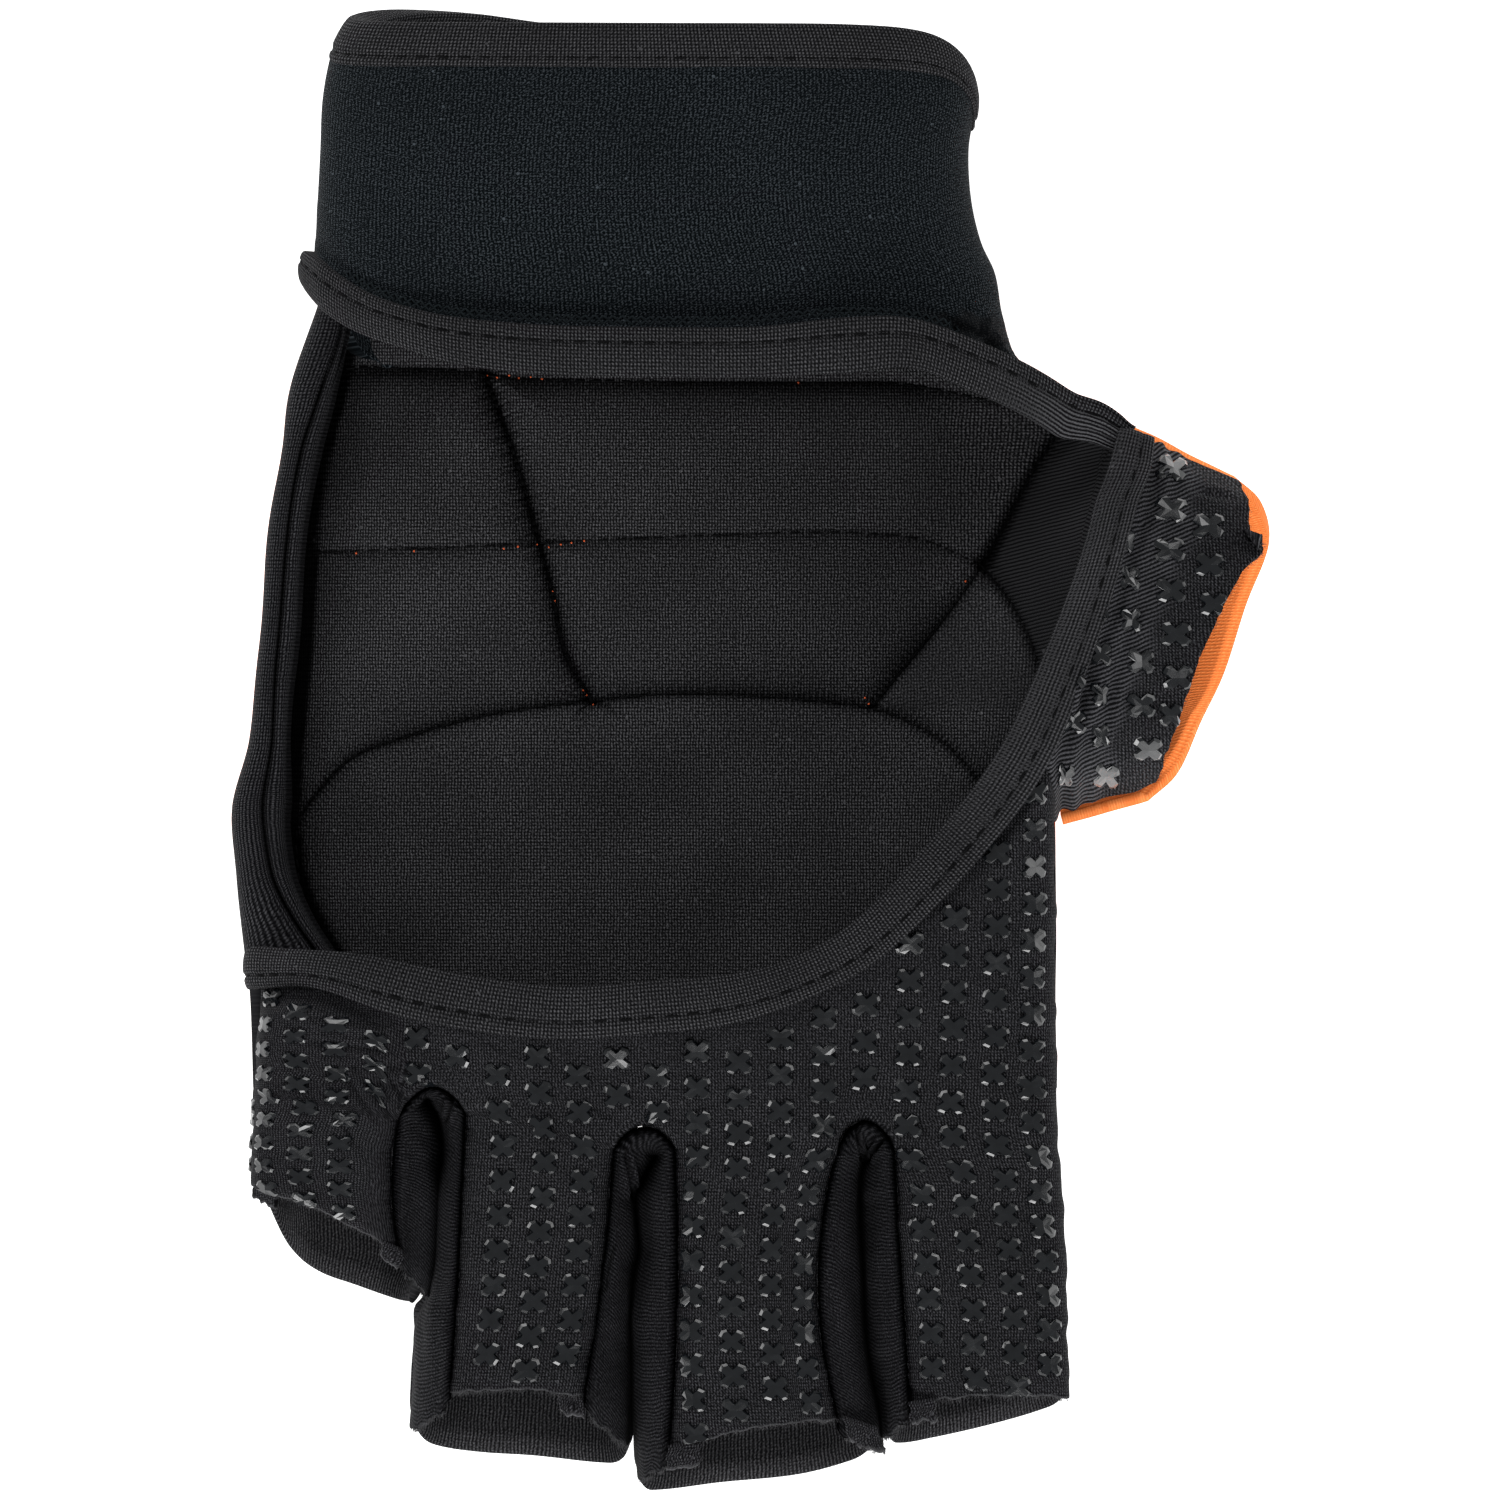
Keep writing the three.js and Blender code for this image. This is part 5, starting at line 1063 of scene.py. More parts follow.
def linePoint(line, v):
    # down a line: v is 0 at the tape, 1 at the finger roots and 2 at the raw finger end
    line = palmLines[line]
    v = np.asarray(v, float)
    endX, endY, endZ = (line.get(name, line["fork" + name[-1]]) for name in ("endX", "endY", "endZ"))
    onPalm = v <= 1
    t = np.where(onPalm, v, v - 1)
    topY = tapeYAt(line["topX"]) + palm["tuck"] - cornerDrop(line["topX"])
    # midX is where the line is half way down the finger: a bow, 4 t (1 - t), takes it there
    bow = 4 * t * (1 - t) * (line.get("midX", line["forkX"]) - (line["forkX"] + endX) / 2)
    x = np.where(onPalm, mix(line["topX"], line["forkX"], t), mix(line["forkX"], endX, t) + bow)
    y = np.where(onPalm, mix(topY, line["forkY"], t), mix(line["forkY"], endY, t))
    sooner = 1 - (1 - np.minimum(t, 1)) ** 1.6
    z = np.where(onPalm, mix(line["topZ"], line["forkZ"], sooner), mix(line["forkZ"], endZ, t))
    return np.stack([x, y, z], -1)


def stripGrid(strip, s, v):
    # between the strip's two lines: bulged in the middle, rolled down at the slits, and round at the
    # two outer seams, z = (1 - (1 - s) ** power) ** (1 / power)
    left, right = palmLines[strip["left"]], palmLines[strip["right"]]
    a, b = linePoint(strip["left"], v)[:, None], linePoint(strip["right"], v)[:, None]
    s, v = s[None, :], v[:, None]
    point = mix(a, b, s[..., None])
    x = point[..., 0]
    rootY = mix(left["forkY"], right["forkY"], s)
    upper = mix(tapeYAt(x) + palm["tuck"] - cornerDrop(x), rootY, v)
    point[..., 1] = np.where(v < 1, upper, point[..., 1])
    hump = 1 - (2 * s - 1) ** 2
    leftZ, rightZ = a[..., 2], b[..., 2]
    rolled = palm["edgeRoll"] * smooth(0.9, 1.1, v)
    # toSlit: millimetres to the nearest slit
    if strip["left"] == "leftSeam":
        z = mix(leftZ, rightZ, (1 - (1 - s) ** palm["leftRound"]) ** (1 / palm["leftRound"]))
        toSlit = (1 - s) * palm["leftWidth"]
    elif strip["right"] == "rightSeam":
        z = mix(rightZ, leftZ, (1 - s ** palm["rightRound"]) ** (1 / palm["rightRound"]))
        toSlit = s * palm["rightWidth"]
    else:
        z = mix(leftZ, rightZ, s) + palm["crown"] * hump * np.minimum(1, v)
        toSlit = np.minimum(s, 1 - s) * (b[..., 0] - a[..., 0])
    point[..., 2] = z - rolled * np.exp(-(toSlit / palm["rollWidth"]) ** 1.4)
    point[..., 1] += palm["dip"] * hump * np.maximum(0, v - 1)
    return point


def archGrid(strip, following, v, count):
    # the cloth above a fork: its lower edge rises to the arch between the two strips
    s = np.linspace(0, 1, count + 2)[1:-1][None]
    a = stripGrid(strip, np.array([1.0]), v)
    b = stripGrid(following, np.array([0.0]), v)
    arch = palmLines[strip["arch"]]
    point = mix(a, b, s[..., None])
    hump = np.sin(np.pi * s) ** 0.7
    t = np.minimum(v, 1)[:, None]
    leftY, rightY = palmLines[strip["right"]]["forkY"], palmLines[following["left"]]["forkY"]
    bottom = mix(leftY, rightY, s) + (arch["forkY"] - (leftY + rightY) / 2) * hump
    point[..., 1] = mix(tapeYAt(point[..., 0]) + palm["tuck"], bottom, t)
    point[..., 2] += 0.6 * hump * t - palm["edgeRoll"] * smooth(0.9, 1.0, t) * hump
    return point


def creaseHeight(x, y, folds):
    # a groove along each fold, exp(-(near / width) ** 2), with a lower ridge beside it
    height = np.zeros(x.shape)
    for fromX, fromY, toX, toY, width, depth in zip(*folds.values()):
        near, place, _ = seamDistance(x, y, [(fromX, fromY), (toX, toY)])
        length = math.hypot(toX - fromX, toY - fromY)
        fade = smooth(0, 0.3, place / length) * smooth(1, 0.7, place / length)
        ridge = 0.5 * np.exp(-((near - 1.3 * width) / width) ** 2)
        height += depth * fade * (ridge - np.exp(-(near / width) ** 2))
    return height


def ownColumns(number):
    # the columns of the palm that belong to one strip
    return np.where(palmOwners == number)[0]


def palmPlaces(grid, x, v):
    # cloth coordinates: across along the curve from the middle of the hand, and down the hand
    stepX = np.linalg.norm(np.diff(grid[..., [0, 2]], axis=1), axis=2)
    run = np.concatenate([np.zeros((len(v), 1)), np.cumsum(stepX, 1)], 1)
    start = np.array([np.interp(0, x[r], run[r]) for r in range(len(v))])
    cloth = run - start[:, None]
    cloth = np.where(cloth > 0, cloth * palm["stretchRight"], cloth)
    root = np.searchsorted(v, 1.0)
    fingers, last = v[:, None] > 1, len(strips) - 1
    for number in range(len(strips)):
        own = ownColumns(number)
        # a finger keeps the coordinate that its middle, or its slit for the outer two, has at the root
        middle = {0: own[-1], last: own[0]}.get(number, own[len(own) // 2])
        shift = cloth[root, middle] - cloth[:, middle]
        cloth[:, own] = np.where(fingers, cloth[:, own] + shift[:, None], cloth[:, own])
    own = ownColumns(0)
    cloth[:, own] += palm["littleShift"] * smooth(0.3, 0.8, v)[:, None]
    # the last column of prints on the middle finger is drawn in from the seam
    own = ownColumns(2)
    drawn = smooth(6.5, 2.5, x[:, own[-1:]] - x[:, own]) * smooth(0.9, 1.1, v)[:, None]
    cloth[:, own] += palm["middleShift"] * drawn
    # the index finger's print sits a little further out and closer together
    own = ownColumns(last)
    further = palm["indexShift"] + palm["indexSqueeze"] * (x[:, own[-1:]] - x[:, own])
    cloth[:, own] -= further * smooth(0.9, 1.2, v)[:, None]
    return cloth


palmV = np.concatenate([np.linspace(0, 1, palm["palmRows"]), np.linspace(1, 2, palm["fingerRows"])[1:]])
# which strip each column of the palm belongs to, and -1 for the cloth above a fork
palmOwners = np.concatenate([
    np.repeat([number, -1], [strip["columns"], palm["archColumns"] if strip["arch"] else 0])
    for number, strip in enumerate(strips)])


def palmSurface():
    blocks = []
    for number, strip in enumerate(strips):
        # columns closer together at the seams
        even = np.linspace(0, 1, strip["columns"])
        s = np.clip(mix(even, 0.5 - 0.5 * np.cos(np.pi * even), 0.6), 0, 1)
        blocks.append(stripGrid(strip, s, palmV))
        if strip["arch"]:
            blocks.append(archGrid(strip, strips[number + 1], palmV, palm["archColumns"]))
    return np.concatenate(blocks, 1)


def toSlits(x):
    # millimetres from each place to the nearer slit beside its strip
    near = np.full(x.shape, 9.0)
    for number in range(len(strips)):
        own = ownColumns(number)
        fromLeft, fromRight = x[:, own] - x[:, own[:1]], x[:, own[-1:]] - x[:, own]
        nearer = np.minimum(fromLeft, fromRight)
        near[:, own] = {0: fromRight, len(strips) - 1: fromLeft}.get(number, nearer)
    return near


def makePalm():
    v, owners = palmV, palmOwners
    grid = palmSurface()
    normal = normalsOf(grid, faceUp=True)
    x, y = grid[..., 0].copy(), grid[..., 1].copy()
    near = toSlits(x)
    # the cloth stays below the tape that holds it
    underTape = smooth(-3.5, -1.0, y - tapeYAt(x))
    tapeTop = along({"x": -underRows["outX"], "z": underRows["z"]}, "x", "z", -x)
    grid[..., 2] -= np.maximum(0, grid[..., 2] - tapeTop + 0.9) * underTape
    aboveFork = owners[None] == -1
    # painted shade along the seams beside the slits and above the forks, with puckers
    atSeam = np.exp(-np.maximum(near - 0.1, 0) / 0.7) * smooth(0.97, 1.0, v)[:, None]
    atSeam = np.maximum(atSeam, np.where(aboveFork, smooth(0.94, 1.0, v)[:, None] ** 2, 0))
    seamRun = np.where(aboveFork, x, y)
    pucker = 0.05 * np.sin(2 * np.pi * y / 1.7 + 3 * ripple(y, x * 0, 7, 81)) * np.exp(-near / 1.5)
    roll = (0.20 * ripple(x, y, 9, 82) + 0.09 * ripple(x, y, 4.2, 83)) * smooth(0, 0.12, v)[:, None]
    grid = grid + normal * (pucker + roll + creaseHeight(x, y, palmFolds))[..., None]
    # raw ends: the cut wanders and the last of the cloth curls
    last = smooth(1.93, 2.0, v)[:, None]
    wander = 0.16 * ripple(x, x * 0, 1.7, 84) + 0.18 * ripple(x, x * 0, 6.5, 85)
    grid[..., 1] += wander * last
    grid[..., 2] -= 0.5 * last * (0.6 + 0.4 * ripple(x, x * 0, 5, 86))
    # no cloth in the slits: beyond the finger roots only cells inside one strip are kept
    insideStrip = (owners[:-1] == owners[1:]) & (owners[1:] != -1)
    keep = insideStrip[None] | (v[:-1, None] < 1)
    # the little finger's cloth is bunched, so more of it fits in the same length
    bunched = palm["bunch"] * np.maximum(0, -33 - y) * smooth(-45, -52, x)
    uv = np.stack([palmPlaces(grid, x, v), grid[..., 1] - bunched], -1)
    # the cut end shows as a pale line
    toEnd = np.linalg.norm(grid - grid[-1:], axis=2)
    cutEnd = smooth(0.26, 0.08, toEnd) * ~aboveFork * (0.7 + 0.3 * ripple(x, y * 0, 3, 89))
    piece = sheetPiece("palm_panel_cloth", grid, palm["wall"], faceUp=True, keep=keep, uv=uv,
                       attributes={"seam": atSeam, "run": seamRun, "coverAndShade": cutEnd})
    finishPiece(piece, palmCloth, "palm_fabric", "palm_panel")
    for number in range(len(strips)):
        own = ownColumns(number)
        edgeFibres("palm_edge_fibres_" + str(number + 1), grid[-1, own], grid[-3, own], normal[-1, own],
                   palm["wall"], palm["fibres"] // len(strips), 0.8, "palm_fabric", 88 + number)
    return grid, uv


palmGrid, palmUv = makePalm()
print("palm panel made")


# Side walls between the fingers

gusset = {"wall": 1.2, "valley": 9.6, "bulge": 0.55, "below": 1.0, "rows": 46, "sideColumns": 110,
          "forkColumns": 34, "overlap": 0.2, "fibres": 160}
# slit: where the two walls meet, from the fork down, and fromEnd and toEnd: the rest of it on each
# side; flat: how far each wall stays level before it goes down; blackTo: the y down to which the slit
# is painted black as shade, where it opens out; lift: how much shallower the valley is there
gussets = [
    {"node": "gusset_little_ring", "from": 0, "to": 1, "flat": (3.6, 2.2), "blackTo": -56.5, "lift": 6.5,
     "seed": 91,
     "slit": [(-43.2, -46.6), (-41.8, -48.8), (-41.1, -52.5), (-41.5, -57.0), (-41.7, -63.0),
              (-42.0, -68.6)],
     "fromEnd": [(-42.6, -72.8)],
     "toEnd": [(-43.0, -73.0), (-44.7, -77.0), (-44.9, -84.0), (-45.4, -90.3)]},
    {"node": "gusset_ring_middle", "from": 1, "to": 2, "flat": (2.2, 3.2), "blackTo": -120, "lift": 0,
     "seed": 92,
     "slit": [(-12.5, -54.4), (-13.9, -56.8), (-15.3, -59.5), (-15.1, -63.1), (-14.8, -66.7),
              (-15.5, -70.0), (-16.0, -75.5), (-15.9, -79.2)],
     "fromEnd": [(-15.9, -85.9), (-16.3, -92.6)],
     "toEnd": [(-15.8, -85.9), (-15.4, -92.0), (-14.9, -97.0)]},
    {"node": "gusset_middle_index", "from": 2, "to": 3, "flat": (3.0, 2.6), "blackTo": -120, "lift": 0,
     "seed": 93,
     "slit": [(15.6, -53.6), (14.8, -56.5), (14.7, -60.8), (15.1, -69.2), (15.4, -77.5), (16.2, -83.5)],
     "fromEnd": [(17.3, -88.5), (17.7, -92.9)],
     "toEnd": [(17.2, -88.0), (17.5, -91.6)]},
]
gussetFolds = table("fromX fromY toX toY width depth", [
    (-16.6, -53.2, -15.6, -60.2, 0.45, 1.5), (14.3, -50.8, 14.9, -54.8, 0.35, 1.2),
    (17.8, -51.6, 15.6, -55.0, 0.35, 1.2), (-39.4, -45.6, -40.3, -49.6, 0.35, 0.9),
    (-17.9, -66.0, -19.2, -72.0, 0.6, 0.4)])


def gussetGrid(wall):
    # the seam line goes up one finger's side, round the fork and down the next one's
    before, after = strips[wall["from"]], strips[wall["to"]]
    n, m, over = gusset["sideColumns"], gusset["forkColumns"], gusset["overlap"]
    v = np.linspace(2, 1, n)[::-1]
    fromSide = stripGrid(before, np.array([1.0]), v)[::-1, 0]
    toSide = stripGrid(after, np.array([0.0]), v)[:, 0]
    fork = archGrid(before, after, np.array([0.98, 1.0]), m)[1]
    top = np.concatenate([fromSide, fork, toSide])
    top[:, 2] -= gusset["below"]
    turn = np.linspace(np.pi, 0, m + 2)[1:-1]
    forkFoot = np.array(wall["slit"][0]) - over * np.stack([np.cos(turn), np.sin(turn)], 1)
    fromFoot, toFoot = (evenLine(wall["slit"] + wall[end], n) for end in ("fromEnd", "toEnd"))
    foot = np.concatenate([fromFoot[::-1] + [over, 0], forkFoot, toFoot - [over, 0]])
    flatFrom, flatTo = wall["flat"]
    flat = np.concatenate([np.full(n, flatFrom), np.linspace(flatFrom, flatTo, m), np.full(n, flatTo)])[None]
    h = np.linspace(0, 1, gusset["rows"])[:, None]
    # a roll: level at first and then steeply down to the valley, z = 1 - sqrt(1 - reach ** flat)
    reach = np.sin(h * np.pi / 2)
    fall = 1 - np.sqrt(np.maximum(0, 1 - reach ** flat))
    width = np.linalg.norm(foot - top[:, :2], axis=1)[None]
    x = mix(top[None, :, 0], foot[None, :, 0], reach)
    y = mix(top[None, :, 1], foot[None, :, 1], reach)
    valley = gusset["valley"] + wall["lift"] * smooth(-54, -60, foot[:, 1]) * smooth(-75, -71, foot[:, 1])
    z = mix(top[None, :, 2], valley[None], fall)
    z = z + gusset["bulge"] * np.sin(np.pi * np.minimum(1, reach * width / 2.6))
    return np.stack([x, y, z], -1), h, reach * width, (1 - reach) * width


def makeGussets():
    for wall in gussets:
        grid, h, fromSeam, toSlit = gussetGrid(wall)
        length = clothGrid(grid)[..., 0]
        x, y = grid[..., 0], grid[..., 1]
        normal = upNormals(grid)
        seed = wall["seed"]
        waver = 2.2 * ripple(length, h * 0, 9, seed)
        pucker = 0.06 * np.sin(2 * np.pi * length / 1.7 + waver) * np.exp(-fromSeam / 1.2)
        level = smooth(0.4, 2.0, fromSeam) * smooth(0.3, 1.4, toSlit)
        folds = 0.32 * ripple(x * 1.6, y * 0.6, 7, seed + 10) + 0.10 * ripple(x, y, 3.0, seed + 20)
        grid = grid + normal * (pucker + folds * level + creaseHeight(x, y, gussetFolds))[..., None]
        # the cut ends run past the palm's and are ragged
        n = np.arange(grid.shape[1])
        atEnd = smooth(5.0, 0.0, np.minimum(n, n[-1] - n))[None]
        grid[..., 1] -= (1.5 + 0.5 * ripple(h * 14, n * 0, 3.5, seed + 30)) * atEnd * (1 - h) ** 0.6
        grid[..., 2] -= 0.9 * atEnd * (1 - h)
        # painted shade in the folds and down the slit, and along the seam
        inFold = sum(np.exp(-(seamDistance(x, y, [fold[:2], fold[2:4]])[0] / 0.3) ** 2)
                     for fold in zip(*gussetFolds.values()))
        black = smooth(0.85, 0.35, toSlit) * smooth(wall["blackTo"] - 4, wall["blackTo"] + 2, y)
        cloth = clothGrid(grid)
        uv = np.stack([cloth[..., 0] * 0.98 + cloth[..., 1] * 0.25, cloth[..., 1]], -1)
        atSeam = np.exp(-np.maximum(0, fromSeam - 0.35) / 1.3)
        marks = {"seam": atSeam, "run": length, "coverAndShade": np.clip(black + 0.85 * inFold, 0, 1)}
        piece = sheetPiece(wall["node"] + "_knit", grid, gusset["wall"], faceUp=True, uv=uv,
                           attributes=marks)
        finishPiece(piece, gussetCloth, "gusset_knit", wall["node"])
        for side, edge, inside in (("from", 0, 3), ("to", -1, -4)):
            edgeFibres(wall["node"] + "_fibres_" + side, grid[:, edge], grid[:, inside], normal[:, edge],
                       gusset["wall"], gusset["fibres"], 0.7, "gusset_knit", seed + 40)


# seam allowances that stick out at the finger ends: a corner, the edge across and the edge down
tab = {"wall": 0.7, "fibres": 60, "rows": 12, "columns": 18}
tabs = table("x y z acrossX acrossY acrossZ downX downY downZ", [
    (-10.9, -92.6, 22.6, 4.5, 0.7, 0.5, -0.3, -3.1, -1.0),
    (21.2, -86.8, 22.6, 3.4, 0.6, 0.4, 0.2, -3.0, -1.0),
    (12.4, -88.6, 21.8, 4.6, -1.6, -2.2, 0.8, -3.6, -1.8),
    (-48.9, -65.0, 21.6, 2.6, -1.6, -1.0, -0.4, -2.2, -1.2),
    (-65.9, -57.2, 13.2, 3.0, -1.6, 2.2, -0.2, -2.4, -1.2),
    (-25.6, -85.6, 21.6, 3.2, -0.6, -1.0, 0.3, -2.4, -1.0)])


def makeTabs():
    for number, row in enumerate(zip(*tabs.values())):
        corner, across, down = np.array(row[:3]), np.array(row[3:6]), np.array(row[6:])
        v, u = np.meshgrid(np.linspace(0, 1, tab["rows"]), np.linspace(0, 1, tab["columns"]),
                           indexing="ij")
        ragged = 1 + 0.12 * ripple(u * 6, u * 0, 1.5, 130 + number)
        sway = 0.05 * ripple(v * 4, v * 0, 2, 135 + number)
        grid = corner + across * (u + sway)[..., None] + down * (v * ragged)[..., None]
        grid[..., 2] += 0.35 * ripple(u * 4, v * 3, 3.2, 140 + number) * v
        pale = smooth(0.86, 0.97, v)
        piece = sheetPiece("seam_tab_" + str(number + 1), grid, tab["wall"], uv=clothGrid(grid),
                           attributes={"coverAndShade": pale})
        finishPiece(piece, palmCloth, "palm_fabric")
        edgeFibres("seam_tab_fibres_" + str(number + 1), grid[-1], grid[-3], upNormals(grid)[-1], tab["wall"],
                   tab["fibres"], 0.7, "palm_fabric", 145 + number)


makeTabs()
makeGussets()
print("gussets made")


# Padded finger backs, open at the finger ends

fingerBack = {"rim": 8.5, "thick": 4.0, "edge": 1.6, "rows": 80, "columns": 84, "hem": 3.2, "wave": 0.14}
# left and right: rows of share from root to tip and x of that edge;
# tip: rows of share across and y of the cut end
fingerBacks = [
    {"node": "finger_back_little", "seed": 101,
     "left": [(0, -66.5), (0.5, -66.3), (1, -65.2)],
     "right": [(0, -42.3), (0.8, -42.5), (1, -44.5)],
     "tip": [(0, -59.5), (0.04, -62.8), (0.15, -66.9), (0.34, -69.9), (0.6, -71.9), (0.89, -73.9),
             (1, -74.3)]},
    {"node": "finger_back_ring", "seed": 102,
     "left": [(0, -41.7), (0.5, -41.9), (0.58, -42.7), (0.63, -43.8), (0.665, -45.0), (0.75, -44.9),
              (1, -45.8)],
     "right": [(0, -15.0), (0.5, -14.9), (1, -15.5)],
     "tip": [(0, -89.4), (0.03, -91.8), (0.1, -93.2), (0.3, -94.2), (0.55, -94.7), (0.9, -95.7),
             (0.97, -95.0), (1, -93)]},
    {"node": "finger_back_middle", "seed": 103,
     "left": [(0, -14.5), (0.5, -14.5), (1, -15.9)],
     "right": [(0, 15.2), (0.5, 15.4), (1, 17.3)],
     "tip": [(0, -95.8), (0.03, -98.4), (0.07, -99.3), (0.36, -98.3), (0.68, -97.2), (0.9, -95.3),
             (0.97, -94.0), (1, -92.6)]},
    {"node": "finger_back_index", "seed": 104,
     "left": [(0, 15.7), (0.5, 15.9), (1, 17.6)],
     "right": [(0, 41), (0.5, 41.6), (1, 43.0)],
     "tip": [(0, -91.8), (0.05, -93.0), (0.27, -92.3), (0.6, -90.4), (0.9, -88.2), (0.97, -87.2),
             (1, -86)]},
]


def makeFingerBacks():
    for finger in fingerBacks:
        u = 0.5 - 0.5 * np.cos(np.linspace(0, np.pi, fingerBack["columns"]))
        u, v = np.meshgrid(u, np.sin(np.linspace(0, np.pi / 2, fingerBack["rows"])))
        outline = table("u y", finger["tip"])
        tip = along(outline, "u", "y", u)
        left, right = (along(table("v x", finger[name]), "v", "x", v) for name in ("left", "right"))
        s = np.abs(2 * u - 1)
        rise = fingerBack["rim"] * (1 - (1 - s**4) ** 0.25)
        grid = np.stack([mix(left, right, u), mix(back["end"] + 0.2, tip, v), rise + 0.4 * v**3], -1)
        normal = normalsOf(grid)
        waves = fingerBack["wave"] * ripple(grid[..., 0], grid[..., 1], 9, finger["seed"])
        grid = grid + normal * (waves * smooth(0, 0.1, v))[..., None]
        thick = mix(fingerBack["edge"], fingerBack["thick"], smooth(0, 0.3, np.minimum(u, 1 - u)))
        # the hem at the finger end is a puffed roll: its two faces meet in a half round
        toTip = np.clip((grid[..., 1] - tip) / fingerBack["hem"], 0, 1)
        thick = thick * (1 + 0.08 * np.exp(-((toTip - 0.8) / 0.5) ** 2))
        curve = np.sqrt(1 - (1 - toTip) ** 2)
        inner = grid - normal * (thick * (0.55 + 0.45 * curve))[..., None]
        grid = grid - normal * (thick * 0.5 * (1 - curve))[..., None]
        piece = paddedPiece(finger["node"] + "_pad", grid, inner)
        # the gusset's knit, painted lighter: painted light on the finger backs
        finishPiece(piece, litGussetCloth, "gusset_knit", finger["node"])


makeFingerBacks()
print("finger backs made")


# Thumb: printed cloth on the palm side, padded orange cloth on the back

thumb = {"wall": 1.6, "thick": 3.6, "columns": 130, "rows": 60, "fibres": 260, "tuck": 2.0,
         "wrinkle": 0.55}
thumbPalm = table("rootX rootY rootZ endX endY endZ", [
    (53.9, 41.9, 18.8, 65.3, 36.2, 12), (54.2, 39.5, 22.5, 66.4, 32.8, 20),
    (53.0, 33.9, 26.5, 66.8, 28.1, 24.5), (52.1, 31.2, 27.6, 68.4, 26.6, 24.6),
    (51.3, 28.5, 28.5, 65.5, 23.6, 26), (47.1, 14.0, 30.5, 60.9, 14.8, 26.5),
    (43.9, 5.7, 31.5, 58.6, 8.1, 25.5), (40.4, -1.9, 31, 56.7, 2.8, 24),
    (41.2, -5.5, 26, 55.3, -1.5, 19), (42.2, -9.3, 12, 54.2, -4.3, 12)])
thumbBack = table("rootX rootY rootZ endX endY endZ", [
    (50.2, 43.6, 19.0, 64.9, 36.6, 9.6), (49.2, 41.4, 7, 68.6, 32.9, 6), (47.2, 30.8, 1.5, 69.6, 27.5, 3),
    (45.0, 20.1, 1, 66.6, 19.5, 2), (43.7, 9.5, 1, 63.7, 10.5, 2), (42.6, -1.2, 1.5, 60.6, 3.9, 2.5),
    (41.9, -6.5, 4, 57.3, -3.2, 5), (41.9, -10.0, 9.6, 53.3, -6.8, 9.6)])
thumbFolds = table("fromX fromY toX toY width depth", [
    (52.8, 38.6, 49.8, 28.0, 0.7, 0.8), (50.4, 30.0, 47.0, 15.5, 0.7, 0.9),
    (47.8, 18.0, 45.6, 1.0, 0.7, 0.8), (50.6, 12.0, 47.8, 0.5, 0.6, 0.5),
    (60.2, 34.6, 65.2, 33.6, 0.6, 0.4)])


def halfTube(rows, columns, spans):
    # straight lines from the root to the cut end, side by side round half of the thumb
    place = np.linspace(0, len(rows["rootX"]) - 1, columns)[None]
    v = np.linspace(0, 1, spans)[:, None]
    root, end = (np.stack([along(rows, "index", side + axis, place) for axis in "XYZ"], -1)
                 for side in ("root", "end"))
    return mix(root, end, v[..., None]), place[0], v


def makeThumbPalm():
    grid, place, v = halfTube(thumbPalm, thumb["columns"], thumb["rows"])
    normal = upNormals(grid)
    x, y = grid[..., 0].copy(), grid[..., 1].copy()
    # reach under the tape at the root
    grid[..., 0] -= thumb["tuck"] * (1 - v)
    nearRoot = np.exp(-(v / 0.33) ** 2)
    waver = 0.9 * ripple(y, x * 0, 15, 111)
    wrinkle = thumb["wrinkle"] * np.sin(2 * np.pi * v * 5.2 + waver) * nearRoot
    roll = 0.35 * ripple(x, y, 10, 112) + 0.12 * ripple(x, y, 4, 113)
    grid = grid + normal * (wrinkle + roll + creaseHeight(x, y, thumbFolds))[..., None]
    last = smooth(0.93, 1.0, v)
    wander = 0.12 * ripple(y, x * 0, 1.6, 114) + 0.15 * ripple(y, x * 0, 7, 115)
    grid[..., 0] += wander * last
    # next to the tape the cloth is stretched into slanting ribs
    stretched = 0.9 * smooth(0.62, 0.42, v + 0.06 * ripple(x, y, 6, 117))
    piece = sheetPiece("thumb_palm_cloth", grid, thumb["wall"], uv=np.stack([x, y], -1),
                       attributes={"patch": stretched})
    finishPiece(piece, palmCloth, "palm_fabric", "thumb_palm")
    return grid, x, y


def makeThumbBack():
    under, place, v = halfTube(thumbBack, thumb["columns"], thumb["rows"])
    normal = normalsOf(under)
    under = under + normal * (0.12 * ripple(under[..., 0], under[..., 1], 8, 116))[..., None]
    atEdge = np.minimum(place, place[-1] - place)[None]
    thick = mix(thumb["wall"], thumb["thick"], smooth(0, 1.5, atEdge)) * (1 - 0.4 * smooth(0.93, 1.0, v))
    pad = paddedPiece("thumb_back_pad", under, under + normal * thick[..., None], True)
    finishPiece(pad, orangeCloth, "orange_fabric", "thumb_back")


thumbGrid, thumbX, thumbY = makeThumbPalm()
makeThumbBack()
edgeFibres("thumb_edge_fibres", thumbGrid[-1], thumbGrid[-3], upNormals(thumbGrid)[-1], thumb["wall"],
           thumb["fibres"], 0.7, "palm_fabric", 118)
print("thumb made")


# Raised rubber crosses printed on the palm side

# arm: the notch beside an arm and the three points of its end, in mm from the middle;
# rings: share of the outline and height above the cloth, from the cloth to the flat top
cross = {"rowPitch": 4.9, "fingerPitch": 4.62, "margin": 0.9, "littleMargin": 2.6, "flatter": 0.88,
         "widest": 6.0,
         "arm": [(1.02, 0.0), (1.84, 0.74), (1.64, 1.42), (0.80, 1.80)],
         "rings": [(1.03, -0.06), (0.99, 0.14), (0.80, 0.36)]}


